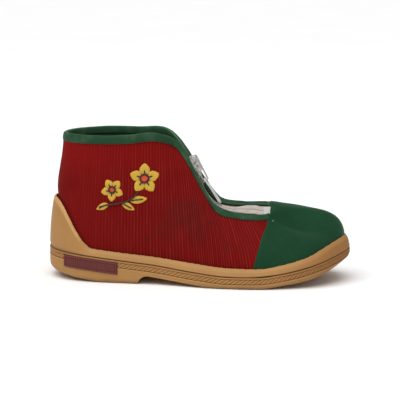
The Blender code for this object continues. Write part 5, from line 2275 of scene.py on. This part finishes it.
    def end_piece(self) -> Piece:
        """Moulded end of the zip: a rounded block with a shallow dished top."""
        piece = add_block(self.stop_size, (0.0, 0.0, 0.0))
        with picked_faces(piece, faces_up):
            for rim, rise in ((self.stop_rim, self.stop_rim_rise), (self.stop_dish_rim, self.stop_dish)):
                bpy.ops.mesh.inset(thickness=rim)
                bpy.ops.transform.translate(value=(0.0, 0.0, rise))
        soften_edges(piece, self.stop_round)
        seat_depth = self.tape_depth - float(self.lift(self.stop_row)) - self.stop_seat
        tilt = Matrix.Rotation(math.radians(self.stop_tilt), 4, "Y")
        drift = Matrix.Translation((0.0, self.stop_drift, 0.0))
        piece.data.transform(self.matrix(self.stop_row, seat_depth - self.stop_size[2] / 2.0) @ drift @ tilt)
        return join("zip_end_piece", [piece])

    def _slider_roof(self) -> float:
        """Height of the slider's roof plate above the middle of the chain."""
        return self.chain_height / 2.0 + self.slider_slack

    def slider(self) -> Piece:
        """Slider: shield-shaped roof and floor on a post, turned-down flanges, and the bail on the roof."""
        roof = self._slider_roof()
        floor = -(self.tape_depth + self.tape_thick - self.chain_depth) - self.slider_slack
        plate = self.slider_plate
        half = self.slider_length / 2.0
        parts = [self._shield(roof, 1.0), self._shield(floor - plate, self.floor_share)]
        post_place = (-half + self.post_inset, 0.0, (roof + floor) / 2.0)
        parts.append(soft_block((*self.post_size, roof - floor + plate), post_place, self.post_round))
        flange_size = (self.slider_length * self.flange_share, self.flange_width, self.flange_height)
        for side in Side:
            y = int(side) * (self.slider_width - self.flange_width) / 2.0
            flange_place = (self.flange_x, y, roof - self.flange_drop)
            parts.append(soft_block(flange_size, flange_place, self.flange_round))
        nose_end = self.bail_shift + self.bail_length / 2.0 + self.nose_past
        nose_length = nose_end - half + self.nose_lap
        nose_place = (nose_end - nose_length / 2.0, 0.0, roof + plate - self.nose_size[1] / 2.0)
        parts.append(soft_block((nose_length, *self.nose_size), nose_place, self.flange_round))
        parts.append(self._bail(roof + plate))
        parts.append(self._bonnet(roof + plate))
        piece = join("zip_slider_body", parts)
        piece.data.transform(self.matrix(self.slider_row, self.chain_depth))
        return piece

    def _shield(self, base: float, share: float) -> Piece:
        """Plate of the slider, narrower toward the toe; the full-sized roof plate has a raised top."""
        size = (self.slider_length * share, self.slider_width * share, self.slider_plate)
        shield = add_block(size, (0.0, 0.0, base + self.slider_plate / 2.0))
        front = (self.slider_length / 2.0 * share, 0.0, base)
        with picked_faces(shield, faces_toe):
            bpy.ops.transform.resize(value=(1.0, self.shield_taper, 1.0), center_override=front)
            bpy.ops.mesh.extrude_region_move(TRANSFORM_OT_translate={"value": (self.shield_lip, 0.0, 0.0)})
        if share == 1.0:
            with picked_faces(shield, faces_up):
                bpy.ops.mesh.inset(thickness=self.shield_rim)
                bpy.ops.transform.translate(value=(0.0, 0.0, self.shield_rise))
        soften_edges(shield, self.slider_round)
        return shield

    def _bonnet(self, foot: float) -> Piece:
        """Rounded spring housing under the back of the bail, clear of the pull's eye."""
        length = self.bail_length * self.bonnet_share
        height = self.bail_height - self.bail_thick
        middle = self.bail_shift + (length + self.bail_thick - self.bail_length) / 2.0
        piece = add_block((length, self.bonnet_width, height), (middle, 0.0, foot + height / 2.0))
        with picked_faces(piece, faces_up):
            bpy.ops.transform.resize(value=self.bonnet_top, center_override=(middle, 0.0, foot + height))
        soften_edges(piece, self.bonnet_round)
        return piece

    def _bail(self, foot: float) -> Piece:
        """Arched bail on the roof plate."""
        half = self.bail_length / 2.0 - self.bail_thick / 2.0
        top = self.bail_height - self.bail_thick / 2.0
        corner = self.bail_corner
        rise = [(-half, self.bail_root), (-half, self.bail_foot)]
        for turn in np.linspace(0.0, QUARTER_TURN, self.bail_steps):
            rise.append((-half + corner * (1.0 - math.cos(turn)), top - corner * (1.0 - math.sin(turn))))
        path = np.array(rise + [(-x, z) for x, z in reversed(rise)])
        tangent = unit(np.gradient(path, axis=0))
        turn = np.linspace(0.0, FULL_TURN, self.bail_rows)[:, None]
        thick = self.bail_thick / 2.0 * squared_off(np.sin(turn), self.bail_thick_power)
        wide = self.bail_width / 2.0 * squared_off(np.cos(turn), self.bail_wide_power)
        x = self.bail_shift + path[:, 0] - tangent[:, 1] * thick
        z = path[:, 1] + tangent[:, 0] * thick + foot
        points = np.stack([x, np.broadcast_to(wide, x.shape), z], axis=-1)
        return lay_grid("bail", capped(points), smooth_angle=self.bail_smooth)

    def pull(self) -> Piece:
        """Long pull hung in the lower end of the bail, flat with a neck and a dished pad."""
        bar = self.pull_bar / 2.0
        eye_end = bar + self.pull_eye
        pull_size = (eye_end + bar, self.pull_eye_width, self.pull_thick)
        piece = add_block(pull_size, ((eye_end - bar) / 2.0, 0.0, 0.0))
        stations = [
            (eye_end + self.pull_neck_start, self.pull_neck_width),
            (self.pull_length - self.pull_neck_end, self.pull_neck_width * self.pull_neck_gain),
            (self.pull_length - self.pull_end_run, self.pull_end_width),
            (self.pull_length, self.pull_end_width * self.pull_tip_share),
        ]
        reached = eye_end
        width = self.pull_eye_width
        with picked_faces(piece, faces_toe):
            for x, wide in stations:
                bpy.ops.mesh.extrude_region_move(TRANSFORM_OT_translate={"value": (x - reached, 0.0, 0.0)})
                bpy.ops.transform.resize(value=(1.0, wide / width, 1.0), center_override=(x, 0.0, 0.0))
                reached = x
                width = wide
        pad = self.pull_length - self.pad_back

        def on_pad(center: Vector, normal: Vector) -> bool:
            return faces_up(center, normal) and abs(center.x - pad) < self.pad_half

        with picked_faces(piece, on_pad):
            bpy.ops.mesh.inset(thickness=self.pad_rim)
            bpy.ops.transform.translate(value=(0.0, 0.0, self.pad_dish))
        eye_size = (self.pull_eye, self.bail_width + self.eye_play, self.eye_cut * self.pull_thick)
        cut_away(piece, soft_block(eye_size, (bar + self.pull_eye / 2.0, 0.0, 0.0), self.eye_round))
        soften_edges(piece, self.pull_round)
        pivot_x = self.bail_shift + self.bail_length / 2.0 - self.bail_thick - bar - self.pull_play
        pivot_z = self._slider_roof() + self.slider_plate + self.pull_thick / 2.0 + self.pull_clearance
        tilt = Matrix.Rotation(math.radians(self.pull_tilt), 4, "Y")
        hung = Matrix.Translation((pivot_x, 0.0, pivot_z)) @ tilt
        piece.data.transform(self.matrix(self.slider_row, self.chain_depth) @ hung)
        return join("zip_pull", [piece])


class Lamp(NamedTuple):
    """Soft area light: where it stands, where it points, its size in metres and its power in watts."""

    name: str
    place: Triple
    aim: Triple
    size: float
    power: float


LAMPS = [
    Lamp("key_light", (-0.5, -0.75, 1.0), (0.0, 0.0, 0.04), 0.9, 1.6),
    Lamp("fill_light", (0.9, -0.7, 0.55), (0.0, 0.0, 0.04), 0.9, 0.8),
    Lamp("back_light", (0.15, 0.9, 0.9), (0.0, 0.0, 0.05), 0.8, 1.2),
]


@dataclass
class Studio:
    """Pale floor, soft lights and the camera at the photograph's angle."""

    azimuth: float = 8.0
    elevation: float = 10.0
    distance: float = 1.1
    target: Triple = (0.0011, -0.00075, 0.0499)
    view_width: float = 0.256
    sensor: float = 36.0
    floor_size: float = 14.0
    floor_cells: int = 8
    floor_color: Color = (0.95, 0.95, 0.95)
    sky: float = 0.35
    overhead_power: float = 2.5
    overhead_spread: float = 70.0
    overhead_place: Triple = (-0.15, -0.35, 1.0)

    def build(self) -> None:
        """Make floor, lights, sky and camera."""
        self.floor()
        self.lights()
        self.camera()
        bpy.context.scene.view_settings.view_transform = "Standard"

    def floor(self) -> None:
        """Wide floor that runs out of sight."""
        bpy.ops.object.select_all(action="DESELECT")
        cells = {"x_subdivisions": self.floor_cells, "y_subdivisions": self.floor_cells}
        bpy.ops.mesh.primitive_grid_add(size=self.floor_size, **cells)
        piece = bpy.context.object
        piece.name = "pale_sweep"
        piece.data.materials.append(PaleFloor("pale_sweep", "", self.floor_color).material())

    def lights(self) -> None:
        """Broad light from above, area lights and an even sky."""
        for lamp in LAMPS:
            bpy.ops.object.light_add(type="AREA", location=lamp.place)
            light = bpy.context.object
            light.name = lamp.name
            light.data.size = lamp.size
            light.data.energy = lamp.power
            way = Vector(lamp.aim) - Vector(lamp.place)
            light.rotation_euler = way.to_track_quat("-Z", "Y").to_euler()
        bpy.ops.object.light_add(type="SUN", location=self.overhead_place)
        overhead = bpy.context.object
        overhead.name = "overhead_light"
        overhead.data.energy = self.overhead_power
        overhead.data.angle = math.radians(self.overhead_spread)
        overhead.rotation_euler = (-Vector(self.overhead_place)).to_track_quat("-Z", "Y").to_euler()
        world = bpy.data.worlds.new("soft_sky")
        world.use_nodes = True
        background = world.node_tree.nodes["Background"]
        background.inputs["Color"].default_value = (1.0, 1.0, 1.0, 1.0)
        background.inputs["Strength"].default_value = self.sky
        bpy.context.scene.world = world

    def camera(self) -> None:
        """Camera at the photograph's angle."""
        turn = math.radians(self.azimuth)
        climb = math.radians(self.elevation)
        back = Vector((math.sin(turn) * math.cos(climb), -math.cos(turn) * math.cos(climb), math.sin(climb)))
        bpy.ops.object.camera_add(location=Vector(self.target) + back * self.distance)
        camera = bpy.context.object
        camera.rotation_euler = (-back).to_track_quat("-Z", "Y").to_euler()
        camera.data.sensor_width = self.sensor
        camera.data.lens = self.sensor * self.distance / self.view_width
        bpy.context.scene.camera = camera


def main() -> None:
    """Build the shoe's looks piece by piece, then the studio."""
    logging.basicConfig(level=logging.INFO, format="%(name)s: %(message)s")
    last = Last()
    Studio().build()
    Sole(last).build()
    Upper(last).build()
    Sprig(last).build()
    ZipFront(last).build()


if __name__ == "__main__":
    main()
